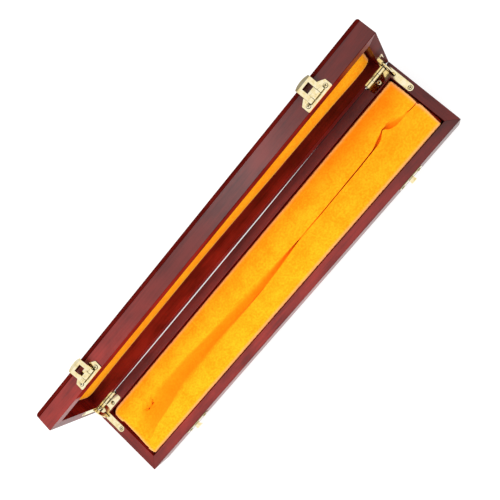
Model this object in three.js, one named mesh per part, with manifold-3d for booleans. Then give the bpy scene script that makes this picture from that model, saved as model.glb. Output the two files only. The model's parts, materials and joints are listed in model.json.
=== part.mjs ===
// A hinged wooden box for a folding fan, standing open: lacquered boards, a padded velvet
// lining in two halves with a trough for the fan, a lined lid on two quadrant hinges, and
// two hasps that drop over catches on the front.
// X runs along the box, +Y points to the hinges and +Z up. The origin is the middle of the underside.

import * as THREE from 'three';
import Module from 'manifold-3d';
import { mergeVertices } from 'three/addons/utils/BufferGeometryUtils.js';

// All sizes are in millimetres and degrees.

// Wooden box
const boxLength = 345;
const boxDepth = 63.5;
const baseHeight = 28;
const lidHeight = 16.2;
const wallThickness = 7.5;
const bottomThickness = 4;
const topThickness = 3.5;
const rabbetWidth = 3.5; // how far the bottom panel reaches under the walls
const topEdgeRadius = 2.7; // round-over along the lid's top edges
const footEdgeRadius = 1.2; // easing along the base's lowest edges
const glueLine = 0.1; // film left between pieces that are fixed together
const rimGap = 0.3; // between the two rims when the box is shut

// Opening of the lid
const lidOpenAngle = 94.5; // from shut, held there by the stays
const axisOutset = 0.4; // hinge axis behind the back wall
const runGap = 0.3; // clearance of pieces that move past each other

// Velvet pads in the base
const padWallGap = 0.4;
const padFloorGap = 0.2;
const padTopDrop = 1.2; // top of the pads below the rim
const padCrown = 0.7;
const padSideDraw = 0.5; // how far the sides pull in at half height
const padEdgeRadius = 2.4;
const padBottomEase = 1.2;
const padEndRadius = 2.6; // corners in plan
const padWideCornerRadius = 7; // the slacker corner at the back left
const slitGap = 0.35;
const slitEdgeRadius = 0.8;

// Trough for the fan, where the pads fall away from their tops
const troughDepth = 6.5;
const troughStartFromLeft = 200;
const troughFullFromLeft = 85;
const troughBackWidthNarrow = 4;
const troughBackWidthWide = 17;

// Lid lining
const liningSideGap = 0.9;
const liningEndGap = 1.4;
const liningCornerRadius = 6;
const liningThickness = 1.5;
const liningCardThickness = 0.8;
const liningCardInset = 1;

// Quadrant hinges, let in flush with both rims
const leafThickness = 1;
const leafInset = 0.15; // face of a leaf below its rim
const leafWidth = 5;
const legLength = 21; // along the back wall
const armLength = 23.5; // along the end wall
const leafInnerMargin = 0.5; // inner edge of the arm from the hollow of the box
const leafBackMargin = 1.75; // back edge of the leg from the back of the box
const leafCornerRadius = 1.2;
const mortiseGap = 0.15;
const barrelRadius = 1.5;
const barrelBore = 0.95;
const barrelLength = 17;
const barrelEndMargin = 3.5; // outer end of the barrel from the outer edge of the arm
const pinRadius = 0.7;
const pinBallRadius = 1.35;
const pinHeadRadius = 1.15;
const legScrewFromCorner = 13; // from the arm's outer edge

// Quadrant stays, arcs about the hinge axis that run through slots in both leaves
const stayInnerRadius = 5;
const stayOuterRadius = 9.5;
const stayThickness = 0.8;
const stayLugHeight = 0.9;
const stayLugAngle = 7;
const stayTailAngle = 16; // length of arc hidden below each leaf when open

// Latches on the lid and catches on the base
const latchEndDistance = 51.2; // middle of a latch from the end of the box
const plateThickness = 0.7;
const plateWidth = 22.2;
const plateEarHeight = 6.6;
const plateMiddleHeight = 7.6;
const plateMiddleWidth = 14;
const plateRimMargin = 0.4;
const plateCornerRadius = 0.7;
const plateScrewSpacing = 16.2;
const plateScrewHeight = 3.3; // above the edge nearer the rim
const pivotHeight = 3.6; // hasp pivot above the lid's rim
const pivotOutset = 2.5; // hasp pivot out from the front face
const knuckleRadius = 1.35;
const knuckleBore = 0.75;
const haspPinRadius = 0.5;
const tabWidth = 5.3;
const tongueLength = 3.4; // tab's free end above the pivot
const haspWidth = 13.2;
const haspThickness = 0.7;
const haspLength = 14; // pivot to the tip of the lip
const haspEndBow = 1.7; // how far the middle of the free end stands past its corners
const haspWindowEnd = 9.4; // pivot to the far edge of the window
const haspLipStart = 11; // pivot to where the lip begins to curl out
const haspLipRadius = 3.4;
const haspSwing = 165; // from thrown open to hanging straight down
const catchRimMargin = 1.1;
const catchHeight = 7.6;
const hookWidth = 4.6;
const hookReach = 4.2; // front of the hook out from the wall
const hookDrop = 3.1; // top of the hook to the end of its lip
const hookCornerRadius = 1.3;

// Screws
const screwShankRadius = 0.7;
const screwHoleGap = 0.25;
const sunkHeadRadius = 1.6;
const sunkHeadDepth = 0.8;
const sunkScrewLength = 7;
const domeHeadRadius = 1.6;
const domeHeadHeight = 0.8;
const domeScrewLength = 6;

// Sizes that follow from those above
const halfLength = boxLength / 2;
const halfDepth = boxDepth / 2;
const innerHalfLength = halfLength - wallThickness;
const innerHalfDepth = halfDepth - wallThickness;
const axisY = halfDepth + axisOutset;
const axisZ = baseHeight + rimGap / 2;
const lidRimZ = baseHeight + rimGap;
const lidFrameTopZ = lidRimZ + lidHeight - topThickness;
const frontY = -halfDepth;
const armInnerX = innerHalfLength + leafInnerMargin;
const armOuterX = armInnerX + leafWidth;
const armCentreX = armOuterX - leafWidth / 2;
const legBackY = halfDepth - leafBackMargin;
const legCentreY = legBackY - leafWidth / 2;
const legInnerY = legBackY - leafWidth;
const legEndX = armOuterX - legLength;
const armEndY = legBackY - armLength;
const barrelOuterX = armOuterX - barrelEndMargin;
const barrelInnerX = barrelOuterX - barrelLength;
const armScrewY = armEndY + leafWidth / 2;
const legScrewX = armOuterX - legScrewFromCorner;
const latchX = halfLength - latchEndDistance;
const pivotZ = lidRimZ + pivotHeight;
const pivotY = frontY - pivotOutset;

// Finishes
const finishes = {
  lacquer: { color: 0x5a1712, roughness: 0.22, metalness: 0 },
  velvet: { color: 0xfeb01c, roughness: 0.95, metalness: 0 },
  card: { color: 0xb9a88c, roughness: 0.9, metalness: 0 },
  brass: { color: 0xe8cf86, roughness: 0.25, metalness: 1 },
};

const wasm = await Module();
wasm.setup();

// Solids and how they join and cut

function toSolid(geometry) {
  const bare = geometry.clone();
  bare.deleteAttribute('normal');
  bare.deleteAttribute('uv');
  const merged = mergeVertices(bare, 1e-5);
  return new wasm.Manifold(new wasm.Mesh({
    numProp: 3,
    vertProperties: new Float32Array(merged.attributes.position.array),
    triVerts: new Uint32Array(merged.index.array),
  }));
}

function toGeometry(solid) {
  const mesh = solid.getMesh();
  const geometry = new THREE.BufferGeometry();
  geometry.setAttribute('position', new THREE.BufferAttribute(new Float32Array(mesh.vertProperties), 3));
  geometry.setIndex(new THREE.BufferAttribute(new Uint32Array(mesh.triVerts), 1));
  geometry.computeVertexNormals();
  return geometry;
}

function subtractAll(solid, cutters) {
  return cutters.reduce((rest, cutter) => rest.subtract(cutter), solid);
}

function addAll(solids) {
  return solids.reduce((sum, solid) => sum.add(solid));
}

// A box between two values on each axis, given in either order
function block(xs, ys, zs) {
  const size = [xs, ys, zs].map(([a, b]) => Math.abs(b - a));
  const centre = [xs, ys, zs].map(([a, b]) => (a + b) / 2);
  const geometry = new THREE.BoxGeometry(...size);
  geometry.translate(...centre);
  return toSolid(geometry);
}

// An outline in the XY plane raised from z0 to z1
function uprightPrism(shape, z0, z1) {
  const geometry = new THREE.ExtrudeGeometry(shape, { depth: z1 - z0, bevelEnabled: false, curveSegments: 8 });
  geometry.translate(0, 0, z0);
  return toSolid(geometry);
}

// An outline whose first axis is Y and second Z, run along X from x0 to x1
function alongX(shape, x0, x1) {
  const geometry = new THREE.ExtrudeGeometry(shape, {
    depth: Math.abs(x1 - x0), bevelEnabled: false, curveSegments: 8,
  });
  const axes = new THREE.Matrix4().makeBasis(
    new THREE.Vector3(0, 1, 0), new THREE.Vector3(0, 0, 1), new THREE.Vector3(1, 0, 0));
  geometry.applyMatrix4(axes);
  geometry.translate(Math.min(x0, x1), 0, 0);
  return toSolid(geometry);
}

// An outline whose first axis is X and second Z, run along Y from y0 to y1
function alongY(shape, y0, y1) {
  const geometry = new THREE.ExtrudeGeometry(shape, {
    depth: Math.abs(y1 - y0), bevelEnabled: false, curveSegments: 8,
  });
  geometry.rotateX(Math.PI / 2);
  geometry.translate(0, Math.max(y0, y1), 0);
  return toSolid(geometry);
}

// A round bar along X
function barX(radius, x0, x1, y, z, sides = 24) {
  const geometry = new THREE.CylinderGeometry(radius, radius, Math.abs(x1 - x0), sides);
  geometry.rotateZ(Math.PI / 2);
  geometry.translate((x0 + x1) / 2, y, z);
  return toSolid(geometry);
}

function outline(points) {
  return new THREE.Shape(points.map(([x, y]) => new THREE.Vector2(x, y)));
}

// A polygon with every corner rounded
function roundedOutline(points, radii) {
  const shape = new THREE.Shape();
  const count = points.length;
  points.forEach(([x, y], index) => {
    const radius = Array.isArray(radii) ? radii[index] : radii;
    const corner = new THREE.Vector2(x, y);
    const before = new THREE.Vector2(...points[(index + count - 1) % count]).sub(corner).normalize();
    const after = new THREE.Vector2(...points[(index + 1) % count]).sub(corner).normalize();
    const reach = radius / Math.tan(before.angleTo(after) / 2);
    const start = corner.clone().addScaledVector(before, reach);
    const end = corner.clone().addScaledVector(after, reach);
    if (index === 0) shape.moveTo(start.x, start.y);
    else shape.lineTo(start.x, start.y);
    if (radius > 0) {
      const middle = before.clone().add(after).normalize();
      const centre = corner.clone().addScaledVector(middle, radius / Math.sin(before.angleTo(after) / 2));
      const a0 = Math.atan2(start.y - centre.y, start.x - centre.x);
      const a1 = Math.atan2(end.y - centre.y, end.x - centre.x);
      const clockwise = THREE.MathUtils.euclideanModulo(a1 - a0, 2 * Math.PI) > Math.PI;
      shape.absarc(centre.x, centre.y, radius, a0, a1, clockwise);
    }
  });
  shape.closePath();
  return shape;
}

// Wooden boards

// Plan of a wall between its two mitres, with half a glue line off each mitre
function mitredPlan(side) {
  const back = glueLine / Math.SQRT2;
  const reach = wallThickness;
  const isLong = side === 'front' || side === 'back';
  const half = (isLong ? halfLength : halfDepth) - back;
  const outer = isLong ? halfDepth : halfLength;
  const sign = side === 'front' || side === 'left' ? -1 : 1;
  const plan = [[-half, outer], [half, outer], [half - reach, outer - reach], [-half + reach, outer - reach]];
  const placed = plan.map(([along, out]) => [along, sign * out]);
  return outline(isLong ? placed : placed.map(([along, out]) => [out, along]));
}

// Section of a wall, as distance in from its outer face against height
function baseWallSection() {
  const eased = footEdgeRadius;
  const shape = new THREE.Shape();
  shape.moveTo(eased, 0);
  shape.lineTo(wallThickness - rabbetWidth, 0);
  shape.lineTo(wallThickness - rabbetWidth, bottomThickness);
  shape.lineTo(wallThickness, bottomThickness);
  shape.lineTo(wallThickness, baseHeight);
  shape.lineTo(0, baseHeight);
  shape.lineTo(0, eased);
  shape.absarc(eased, eased, eased, Math.PI, 1.5 * Math.PI, false);
  return shape;
}

function lidWallSection() {
  const top = lidFrameTopZ;
  return outline([[0, lidRimZ], [wallThickness, lidRimZ], [wallThickness, top], [0, top]]);
}

// The section runs the length of its side, turned so that its outer face looks outwards
function wallBlank(section, side, z0, z1) {
  const isLong = side === 'front' || side === 'back';
  const runLength = isLong ? boxLength : boxDepth;
  const geometry = new THREE.ExtrudeGeometry(section, { depth: runLength, bevelEnabled: false, curveSegments: 4 });
  const turns = { front: 0, right: 90, back: 180, left: 270 };
  const axes = new THREE.Matrix4().makeBasis(
    new THREE.Vector3(0, 1, 0), new THREE.Vector3(0, 0, 1), new THREE.Vector3(1, 0, 0));
  geometry.applyMatrix4(axes);
  geometry.translate(-runLength / 2, -(isLong ? halfDepth : halfLength), 0);
  geometry.rotateZ(THREE.MathUtils.degToRad(turns[side]));
  return toSolid(geometry).intersect(uprightPrism(mitredPlan(side), z0, z1));
}

function lidTopBoard() {
  const z0 = lidFrameTopZ + glueLine;
  const z1 = lidRimZ + lidHeight;
  const acrossSection = (half) => roundedOutline(
    [[-half, z0], [half, z0], [half, z1], [-half, z1]], [0, 0, topEdgeRadius, topEdgeRadius]);
  return alongX(acrossSection(halfDepth), -halfLength, halfLength)
    .intersect(alongY(acrossSection(halfLength), -halfDepth, halfDepth));
}

function bottomPanel() {
  const x = innerHalfLength + rabbetWidth - glueLine;
  const y = innerHalfDepth + rabbetWidth - glueLine;
  return block([-x, x], [-y, y], [0, bottomThickness - glueLine]);
}

// Hinges. side is +1 on the right and -1 on the left.

// L of the leaf in plan, grown by margin for its mortise
function leafPlan(side, margin) {
  const outer = armOuterX + margin;
  const inner = armInnerX - margin;
  const back = legBackY + margin;
  const front = legInnerY - margin;
  const legEnd = legEndX - margin;
  const armEnd = armEndY - margin;
  const endRadius = (leafWidth + 2 * margin) / 2 * 0.98;
  const corner = leafCornerRadius + margin;
  const points = [[legEnd, back], [outer, back], [outer, armEnd], [inner, armEnd], [inner, front], [legEnd, front]];
  const radii = [corner, corner, endRadius, endRadius, 0, corner];
  return roundedOutline(points.map(([x, y]) => [side * x, y]), radii);
}

// Where things lie on the base's side of the hinge plane, and mirrored on the lid's
function hingeHeights(isLid) {
  const flip = isLid ? 1 : -1;
  const rim = isLid ? lidRimZ : baseHeight;
  const face = rim + flip * leafInset;
  return { flip, rim, face, back: face + flip * leafThickness };
}

// Three knuckles: the outer two belong to the base, the middle one to the lid
function knuckleSpans(isLid) {
  const third = barrelLength / 3;
  const first = barrelInnerX + third;
  const second = barrelInnerX + 2 * third;
  if (isLid) return [[first + runGap / 2, second - runGap / 2]];
  return [[barrelInnerX, first - runGap / 2], [second + runGap / 2, barrelOuterX]];
}

function staySlot(side, z0, z1) {
  const half = stayThickness / 2 + runGap;
  const nearest = axisY - stayInnerRadius + runGap + leafThickness / 4;
  const farthest = axisY - stayOuterRadius - runGap;
  const x = side * armCentreX;
  return block([x - half, x + half], [farthest, nearest], [z0, z1]);
}

function hingeLeaf(side, isLid) {
  const { flip, face, back } = hingeHeights(isLid);
  const low = Math.min(face, back);
  const high = Math.max(face, back);
  const plate = uprightPrism(leafPlan(side, 0), low, high);
  const knuckles = knuckleSpans(isLid).map(([x0, x1]) => addAll([
    barX(barrelRadius, side * x0, side * x1, axisY, axisZ),
    block([side * x0, side * x1], [legBackY - leafCornerRadius, axisY], [low, high]),
  ]));
  const bore = barX(barrelBore, side * (barrelInnerX - 1), side * (barrelOuterX + 1), axisY, axisZ);
  const cutters = [bore, staySlot(side, low - 1, high + 1)];
  leafScrewPlaces(side).forEach(([x, y]) => cutters.push(sunkScrewSolid(x, y, face, flip, screwHoleGap / 2)));
  return subtractAll(addAll([plate, ...knuckles]), cutters);
}

function leafScrewPlaces(side) {
  return [[side * legScrewX, legCentreY], [side * armCentreX, armScrewY]];
}

// Pin with a ball outside the barrel and a small head inside it
function hingePin(side) {
  const headX = barrelInnerX - runGap;
  const ballX = barrelOuterX + runGap + pinBallRadius;
  const points = [new THREE.Vector2(0, headX - pinHeadRadius * 0.6)];
  points.push(new THREE.Vector2(pinHeadRadius * 0.75, headX - pinHeadRadius * 0.4));
  points.push(new THREE.Vector2(pinHeadRadius, headX));
  points.push(new THREE.Vector2(pinRadius, headX));
  const meet = Math.asin(pinRadius / pinBallRadius);
  const steps = 7;
  for (let step = 0; step <= steps; step += 1) {
    const angle = meet + (Math.PI - meet) * step / steps;
    const radius = step === steps ? 0 : pinBallRadius * Math.sin(angle);
    points.push(new THREE.Vector2(radius, ballX - pinBallRadius * Math.cos(angle)));
  }
  const geometry = new THREE.LatheGeometry(points, 16);
  geometry.rotateZ(-side * Math.PI / 2);
  geometry.translate(0, axisY, axisZ);
  return toSolid(geometry);
}

// Arc of the stay about the hinge axis, with a lug at each end that stops it behind a leaf
function quadrantStay() {
  const toRadians = THREE.MathUtils.degToRad;
  const a0 = -stayTailAngle;
  const a1 = lidOpenAngle + stayTailAngle;
  const lugRadius = stayOuterRadius + stayLugHeight;
  const shape = new THREE.Shape();
  shape.absarc(0, 0, lugRadius, toRadians(a0), toRadians(a0 + stayLugAngle), false);
  shape.absarc(0, 0, stayOuterRadius, toRadians(a0 + stayLugAngle), toRadians(a1 - stayLugAngle), false);
  shape.absarc(0, 0, lugRadius, toRadians(a1 - stayLugAngle), toRadians(a1), false);
  shape.absarc(0, 0, stayInnerRadius, toRadians(a1), toRadians(a0), true);
  const geometry = new THREE.ExtrudeGeometry(shape, {
    depth: stayThickness, bevelEnabled: false, curveSegments: 14,
  });
  // Angle zero lies along the base's rim towards the front, and a quarter turn is straight up
  const axes = new THREE.Matrix4().makeBasis(
    new THREE.Vector3(0, -1, 0), new THREE.Vector3(0, 0, 1), new THREE.Vector3(-1, 0, 0));
  geometry.applyMatrix4(axes);
  geometry.translate(stayThickness / 2, 0, 0);
  return geometry;
}

// Everything cut out of a rim for one hinge: mortise, barrel groove, stay pocket, screw holes
function hingeCutters(side, isLid) {
  const { flip, rim, face, back } = hingeHeights(isLid);
  const above = rim - flip;
  const floor = back + flip * glueLine;
  const low = Math.min(above, floor);
  const high = Math.max(above, floor);
  const lugRadius = stayOuterRadius + stayLugHeight;
  const sweep = THREE.MathUtils.degToRad(stayTailAngle + lidOpenAngle / 2);
  const pocketDepth = lugRadius * Math.sin(sweep) + runGap;
  const pocketNear = axisY - stayInnerRadius * Math.cos(sweep) + runGap;
  const halfSlot = stayThickness / 2 + runGap + mortiseGap;
  const stayX = side * armCentreX;
  const grooveX = [side * (barrelInnerX - runGap - pinHeadRadius), side * (armOuterX + mortiseGap)];
  const cutters = [
    uprightPrism(leafPlan(side, mortiseGap), low, high),
    block([side * (barrelInnerX - runGap), side * (barrelOuterX + runGap)],
      [legBackY - leafCornerRadius, halfDepth + 1], [low, high]),
    barX(barrelRadius + runGap, grooveX[0], grooveX[1], axisY, axisZ),
    block([stayX - halfSlot, stayX + halfSlot],
      [axisY - lugRadius - runGap, pocketNear], [axisZ, axisZ + flip * pocketDepth]),
  ];
  leafScrewPlaces(side).forEach(([x, y]) => cutters.push(sunkScrewSolid(x, y, face, flip, screwHoleGap)));
  return cutters;
}

// Screws

// Half outline of a countersunk screw from the head's face down, grown by gap for its hole
function sunkScrewOutline(gap) {
  const length = sunkScrewLength + gap;
  const point = 1.6;
  return [
    [0, gap], [sunkHeadRadius + gap, gap], [sunkHeadRadius + gap, 0], [screwShankRadius + gap, -sunkHeadDepth],
    [screwShankRadius + gap, -length + point], [0, -length],
  ];
}

// flip is -1 for a screw driven down into the base and +1 for one driven up into the lid
function sunkScrewSolid(x, y, faceZ, flip, gap) {
  const points = sunkScrewOutline(gap).filter(([, height]) => gap > 0 || height < 1e-9);
  const unique = points.filter(([r, h], index) => index === 0
    || r !== points[index - 1][0] || h !== points[index - 1][1]);
  const geometry = new THREE.LatheGeometry(unique.reverse().map(([r, h]) => new THREE.Vector2(r, h)), 16);
  geometry.rotateX(flip < 0 ? Math.PI / 2 : -Math.PI / 2);
  geometry.translate(x, y, faceZ);
  return toSolid(geometry);
}

// Round-headed screw driven along +Y, its head standing on the plane y = seatY
function domeScrew(x, seatY, z) {
  const sin = (degrees) => Math.sin(THREE.MathUtils.degToRad(degrees));
  const cos = (degrees) => Math.cos(THREE.MathUtils.degToRad(degrees));
  const points = [new THREE.Vector2(0, -domeScrewLength), new THREE.Vector2(screwShankRadius, -domeScrewLength + 1.6)];
  points.push(new THREE.Vector2(screwShankRadius, 0));
  [0, 30, 60].forEach((angle) => points.push(new THREE.Vector2(
    domeHeadRadius * cos(angle), domeHeadHeight * sin(angle))));
  points.push(new THREE.Vector2(0, domeHeadHeight));
  const geometry = new THREE.LatheGeometry(points, 16);
  geometry.rotateX(Math.PI);
  geometry.translate(x, seatY, z);
  return toSolid(geometry);
}

function shankHole(x, z) {
  const geometry = new THREE.CylinderGeometry(
    screwShankRadius + screwHoleGap, screwShankRadius + screwHoleGap, domeScrewLength + 3, 16);
  geometry.translate(x, frontY - 3 + (domeScrewLength + 3) / 2, z);
  return toSolid(geometry);
}

// Latches and catches. centreX is the middle of the pair.

function frontPlate(points, radii, z0) {
  const shape = roundedOutline(points.map(([x, z]) => [x, z0 + z]), radii);
  return alongY(shape, frontY - glueLine - plateThickness, frontY - glueLine);
}

function latchScrewPlaces(centreX, z) {
  return [[centreX - plateScrewSpacing / 2, z], [centreX + plateScrewSpacing / 2, z]];
}

// Section of the tab: out under the pin, round its front and up into the flat tongue
function rolledTab() {
  const root = frontY - glueLine - plateThickness / 2;
  const shape = new THREE.Shape();
  shape.moveTo(root, pivotZ - knuckleRadius);
  shape.lineTo(root, pivotZ - knuckleBore);
  shape.absarc(pivotY, pivotZ, knuckleBore, -Math.PI / 2, -Math.PI, true);
  shape.lineTo(pivotY - knuckleBore, pivotZ + tongueLength);
  shape.lineTo(pivotY - knuckleRadius, pivotZ + tongueLength);
  shape.absarc(pivotY, pivotZ, knuckleRadius, Math.PI, 1.5 * Math.PI, false);
  return shape;
}

// Eared plate whose middle tab rolls round the pin and ends in a square tongue
function latchPlate(centreX) {
  const z0 = lidRimZ + plateRimMargin;
  const half = plateWidth / 2;
  const middle = plateMiddleWidth / 2;
  const corner = plateCornerRadius;
  const plate = frontPlate([
    [centreX - half, 0], [centreX + half, 0], [centreX + half, plateEarHeight],
    [centreX + middle, plateMiddleHeight], [centreX - middle, plateMiddleHeight], [centreX - half, plateEarHeight],
  ], [corner, corner, corner, 0, 0, corner], z0);
  const tab = [centreX - tabWidth / 2, centreX + tabWidth / 2];
  const holes = latchScrewPlaces(centreX, z0 + plateScrewHeight).map(([x, z]) => shankHole(x, z));
  return subtractAll(plate.add(alongX(rolledTab(), ...tab)), holes);
}

// Hasp hanging straight down from its pivot at the origin, with its outer face towards -Y.
// A side profile with a curled lip, trimmed by a plan with a bowed end, then windowed.
function hasp() {
  const half = haspWidth / 2;
  const skin = haspThickness / 2;
  const curl = Math.acos(1 - (haspLength - haspLipStart) / haspLipRadius * 0.62);
  const profile = new THREE.Shape();
  profile.moveTo(skin, 0);
  profile.lineTo(skin, -haspLipStart);
  profile.absarc(-haspLipRadius, -haspLipStart, haspLipRadius + skin, 0, -curl, true);
  profile.absarc(-haspLipRadius, -haspLipStart, haspLipRadius - skin, -curl, 0, false);
  profile.lineTo(-skin, 0);
  const sheet = alongX(profile, -half, half);
  const bow = (half * half + haspEndBow * haspEndBow) / (2 * haspEndBow);
  const tip = -haspLength;
  const sweep = Math.asin(half / bow);
  const plan = new THREE.Shape();
  plan.moveTo(half, knuckleRadius);
  plan.lineTo(-half, knuckleRadius);
  plan.lineTo(-half, tip + haspEndBow);
  plan.absarc(0, tip + bow, bow, -Math.PI / 2 - sweep, -Math.PI / 2 + sweep, false);
  plan.lineTo(half, knuckleRadius);
  const depth = haspLipRadius + 2;
  const trimmed = sheet.intersect(alongY(plan, -depth, depth));
  const slotHalf = tabWidth / 2 + runGap;
  const slot = block([-slotHalf, slotHalf], [-depth, depth], [-haspWindowEnd, knuckleRadius + 1]);
  const eyeEnd = half - runGap;
  const eyes = [-1, 1].map((side) => barX(knuckleRadius, side * slotHalf, side * eyeEnd, 0, 0));
  return addAll([trimmed, ...eyes]).subtract(slot).subtract(barX(knuckleBore, -half - 1, half + 1, 0, 0));
}

function haspPin() {
  const half = haspWidth / 2;
  const geometry = new THREE.CylinderGeometry(haspPinRadius, haspPinRadius, 2 * half, 16);
  geometry.rotateZ(Math.PI / 2);
  return toSolid(geometry);
}

// Plate on the base with a hook that stands out and turns down
function catchPlate(centreX) {
  const half = plateWidth / 2;
  const top = baseHeight - catchRimMargin;
  const plate = frontPlate([
    [centreX - half, -catchHeight], [centreX + half, -catchHeight], [centreX + half, 0], [centreX - half, 0],
  ], plateCornerRadius, top);
  const outer = frontY - hookReach;
  const hookTop = top - plateThickness;
  const inner = frontY - glueLine - plateThickness / 2;
  const shape = roundedOutline([
    [inner, hookTop], [outer, hookTop], [outer, hookTop - hookDrop], [outer + plateThickness, hookTop - hookDrop],
    [outer + plateThickness, hookTop - plateThickness], [inner, hookTop - plateThickness],
  ], [0, hookCornerRadius, 0, 0, hookCornerRadius - plateThickness, 0]);
  const hook = alongX(shape, centreX - hookWidth / 2, centreX + hookWidth / 2);
  const holes = latchScrewPlaces(centreX, top - catchHeight / 2).map(([x, z]) => shankHole(x, z));
  return subtractAll(plate.add(hook), holes);
}

// Velvet pads

const padEnd = innerHalfLength - padWallGap;
const padOuterY = innerHalfDepth - padWallGap;
const padBottom = bottomThickness + padFloorGap;
const padTop = baseHeight - padTopDrop;
const fromRight = (distance, y) => new THREE.Vector2(padEnd - distance, y);
const fromLeft = (distance, y) => new THREE.Vector2(distance - padEnd, y);

// The two lips of the slit, from the right end to the left. They part in two small gaps
// near the right end, and at the left they lie at the bottom of the trough.
const backLip = new THREE.SplineCurve([
  fromRight(0, -1.7), fromRight(7, -0.9), fromRight(14, 0.9), fromRight(19, 3.5), fromRight(24, 4.3),
  fromRight(29, 4.8), fromRight(34, 3.9), fromRight(39, 3.1), fromRight(43, 1.5), fromRight(47, 0.5),
  fromRight(60, 0), fromRight(86, -0.5), fromRight(110, -0.7), fromLeft(164, -0.4), fromLeft(140, 1.1),
  fromLeft(114, 2.1), fromLeft(64, 3.4), fromLeft(24, 4.7), fromLeft(0, 3),
]);
const frontLip = new THREE.SplineCurve([
  fromRight(0, -1.7 - slitGap), fromRight(7, -0.9 - slitGap), fromRight(14, 0.5), fromRight(19, -0.3),
  fromRight(24, -0.5), fromRight(27, 1.6), fromRight(29, 4.4), fromRight(34, 3.3), fromRight(39, 1.4),
  fromRight(43, 0.6), fromRight(47, 0.5 - slitGap), fromRight(60, -slitGap), fromRight(86, -0.5 - slitGap),
  fromRight(110, -0.7 - slitGap), fromLeft(164, -0.4 - slitGap), fromLeft(140, 1.1 - slitGap),
  fromLeft(114, 2.1 - slitGap), fromLeft(64, 3.4 - slitGap),
  fromLeft(24, 4.7 - slitGap), fromLeft(0, 3 - slitGap),
]);
// Where the front pad's top ends and its fall into the trough begins
const frontCrest = new THREE.SplineCurve([
  fromLeft(200, -1.9), fromLeft(184, -2.2), fromLeft(164, -2.4), fromLeft(104, -3.8), fromLeft(48, -6.9),
  fromLeft(30, -8.9), fromLeft(20, -11.1), fromLeft(11, -13.6), fromLeft(4, -16), fromLeft(0, -17.6),
]);

// Sideways place of a curve at a given x, read off fine steps
function placeAt(curve, x) {
  const points = curve.getPoints(240);
  const after = points.findIndex((point) => point.x <= x);
  if (after < 0) return points[points.length - 1].y;
  if (after === 0) return points[0].y;
  const a = points[after - 1];
  const b = points[after];
  return a.y + (b.y - a.y) * (a.x - x) / (a.x - b.x);
}

const troughStartX = troughStartFromLeft - padEnd;
const troughFullX = troughFullFromLeft - padEnd;

function troughDepthAt(x) {
  return troughDepth * THREE.MathUtils.smoothstep(-x, -troughStartX, -troughFullX);
}

function troughBackWidthAt(x) {
  const share = THREE.MathUtils.clamp((troughStartX - x) / (troughStartX + padEnd), 0, 1);
  return THREE.MathUtils.lerp(troughBackWidthNarrow, troughBackWidthWide, share);
}

// How far the plan draws in, and the top comes down, close to an end
function endInset(x, radius) {
  const past = Math.max(0, Math.abs(x) - (padEnd - radius)) / radius;
  return radius * (1 - Math.sqrt(Math.max(0, 1 - past * past)));
}

// Closed section of one pad at x, from the lip of the slit to the wall
function padSection(x, isBack) {
  const away = isBack ? 1 : -1;
  const lip = placeAt(isBack ? backLip : frontLip, x);
  const cornerRadius = isBack && x < 0 ? padWideCornerRadius : padEndRadius;
  const wall = away * (padOuterY - 0.9 * endInset(x, cornerRadius));
  const top = padTop - 0.8 * endInset(x, padEndRadius);
  const depth = troughDepthAt(x);
  const slope = isBack ? troughBackWidthAt(x) : Math.abs(lip - placeAt(frontCrest, x));
  const middle = (padBottom + top) / 2;
  const points = [
    [lip + away * padBottomEase, padBottom],
    [wall - away * padBottomEase, padBottom],
    [wall, padBottom + padBottomEase],
    [wall - away * padSideDraw, middle],
    [wall, top - padEdgeRadius],
    [wall - away * padEdgeRadius * 0.3, top - padEdgeRadius * 0.3],
  ];
  const steps = 9;
  const from = wall - away * padEdgeRadius;
  const to = lip + away * slitEdgeRadius;
  for (let step = 0; step <= steps; step += 1) {
    const share = step / steps;
    const y = THREE.MathUtils.lerp(from, to, share ** 0.8);
    const distance = Math.abs(y - lip);
    const fall = 1 - THREE.MathUtils.smoothstep(distance, 0, slope + slitEdgeRadius);
    const crown = padCrown * Math.sin(Math.PI * share);
    points.push([y, top + crown - depth * fall]);
  }
  const lipTop = top - depth;
  points.push([lip + away * slitEdgeRadius * 0.3, lipTop - slitEdgeRadius * 0.3]);
  points.push([lip, lipTop - slitEdgeRadius]);
  points.push([lip + away * padSideDraw, (padBottom + lipTop) / 2]);
  points.push([lip, padBottom + padBottomEase]);
  if (!isBack) points.reverse();
  return points;
}

// Skin over a row of closed sections, shut at both ends
function loft(stations, sectionAt) {
  const positions = [];
  const index = [];
  const sections = stations.map((x) => sectionAt(x));
  const count = sections[0].length;
  sections.forEach((section, row) => section.forEach(([y, z]) => positions.push(stations[row], y, z)));
  for (let row = 0; row + 1 < sections.length; row += 1) {
    for (let column = 0; column < count; column += 1) {
      const next = (column + 1) % count;
      const a = row * count + column;
      const b = row * count + next;
      index.push(a, a + count, b, b, a + count, b + count);
    }
  }
  [0, sections.length - 1].forEach((row, isLast) => {
    const section = sections[row];
    const contour = section.map(([y, z]) => new THREE.Vector2(y, z));
    THREE.ShapeUtils.triangulateShape(contour, []).forEach(([a, b, c]) => {
      const start = row * count;
      if (isLast) index.push(start + a, start + c, start + b);
      else index.push(start + a, start + b, start + c);
    });
  });
  const geometry = new THREE.BufferGeometry();
  geometry.setAttribute('position', new THREE.Float32BufferAttribute(positions, 3));
  geometry.setIndex(index);
  geometry.computeVertexNormals();
  return geometry;
}

// Stations close together round the ends and where the slit bends, wider elsewhere
function padStations(curve, leftRadius) {
  const rounding = (radius) => [0, 0.12, 0.35, 0.7].map((share) => share * radius);
  const right = rounding(padEndRadius).map((inset) => padEnd - inset);
  const left = rounding(leftRadius).map((inset) => inset - padEnd).reverse();
  const between = curve.getPoints(40).map((point) => point.x)
    .filter((x) => x < padEnd - padEndRadius && x > leftRadius - padEnd);
  return [...right, ...between, ...left];
}

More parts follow.
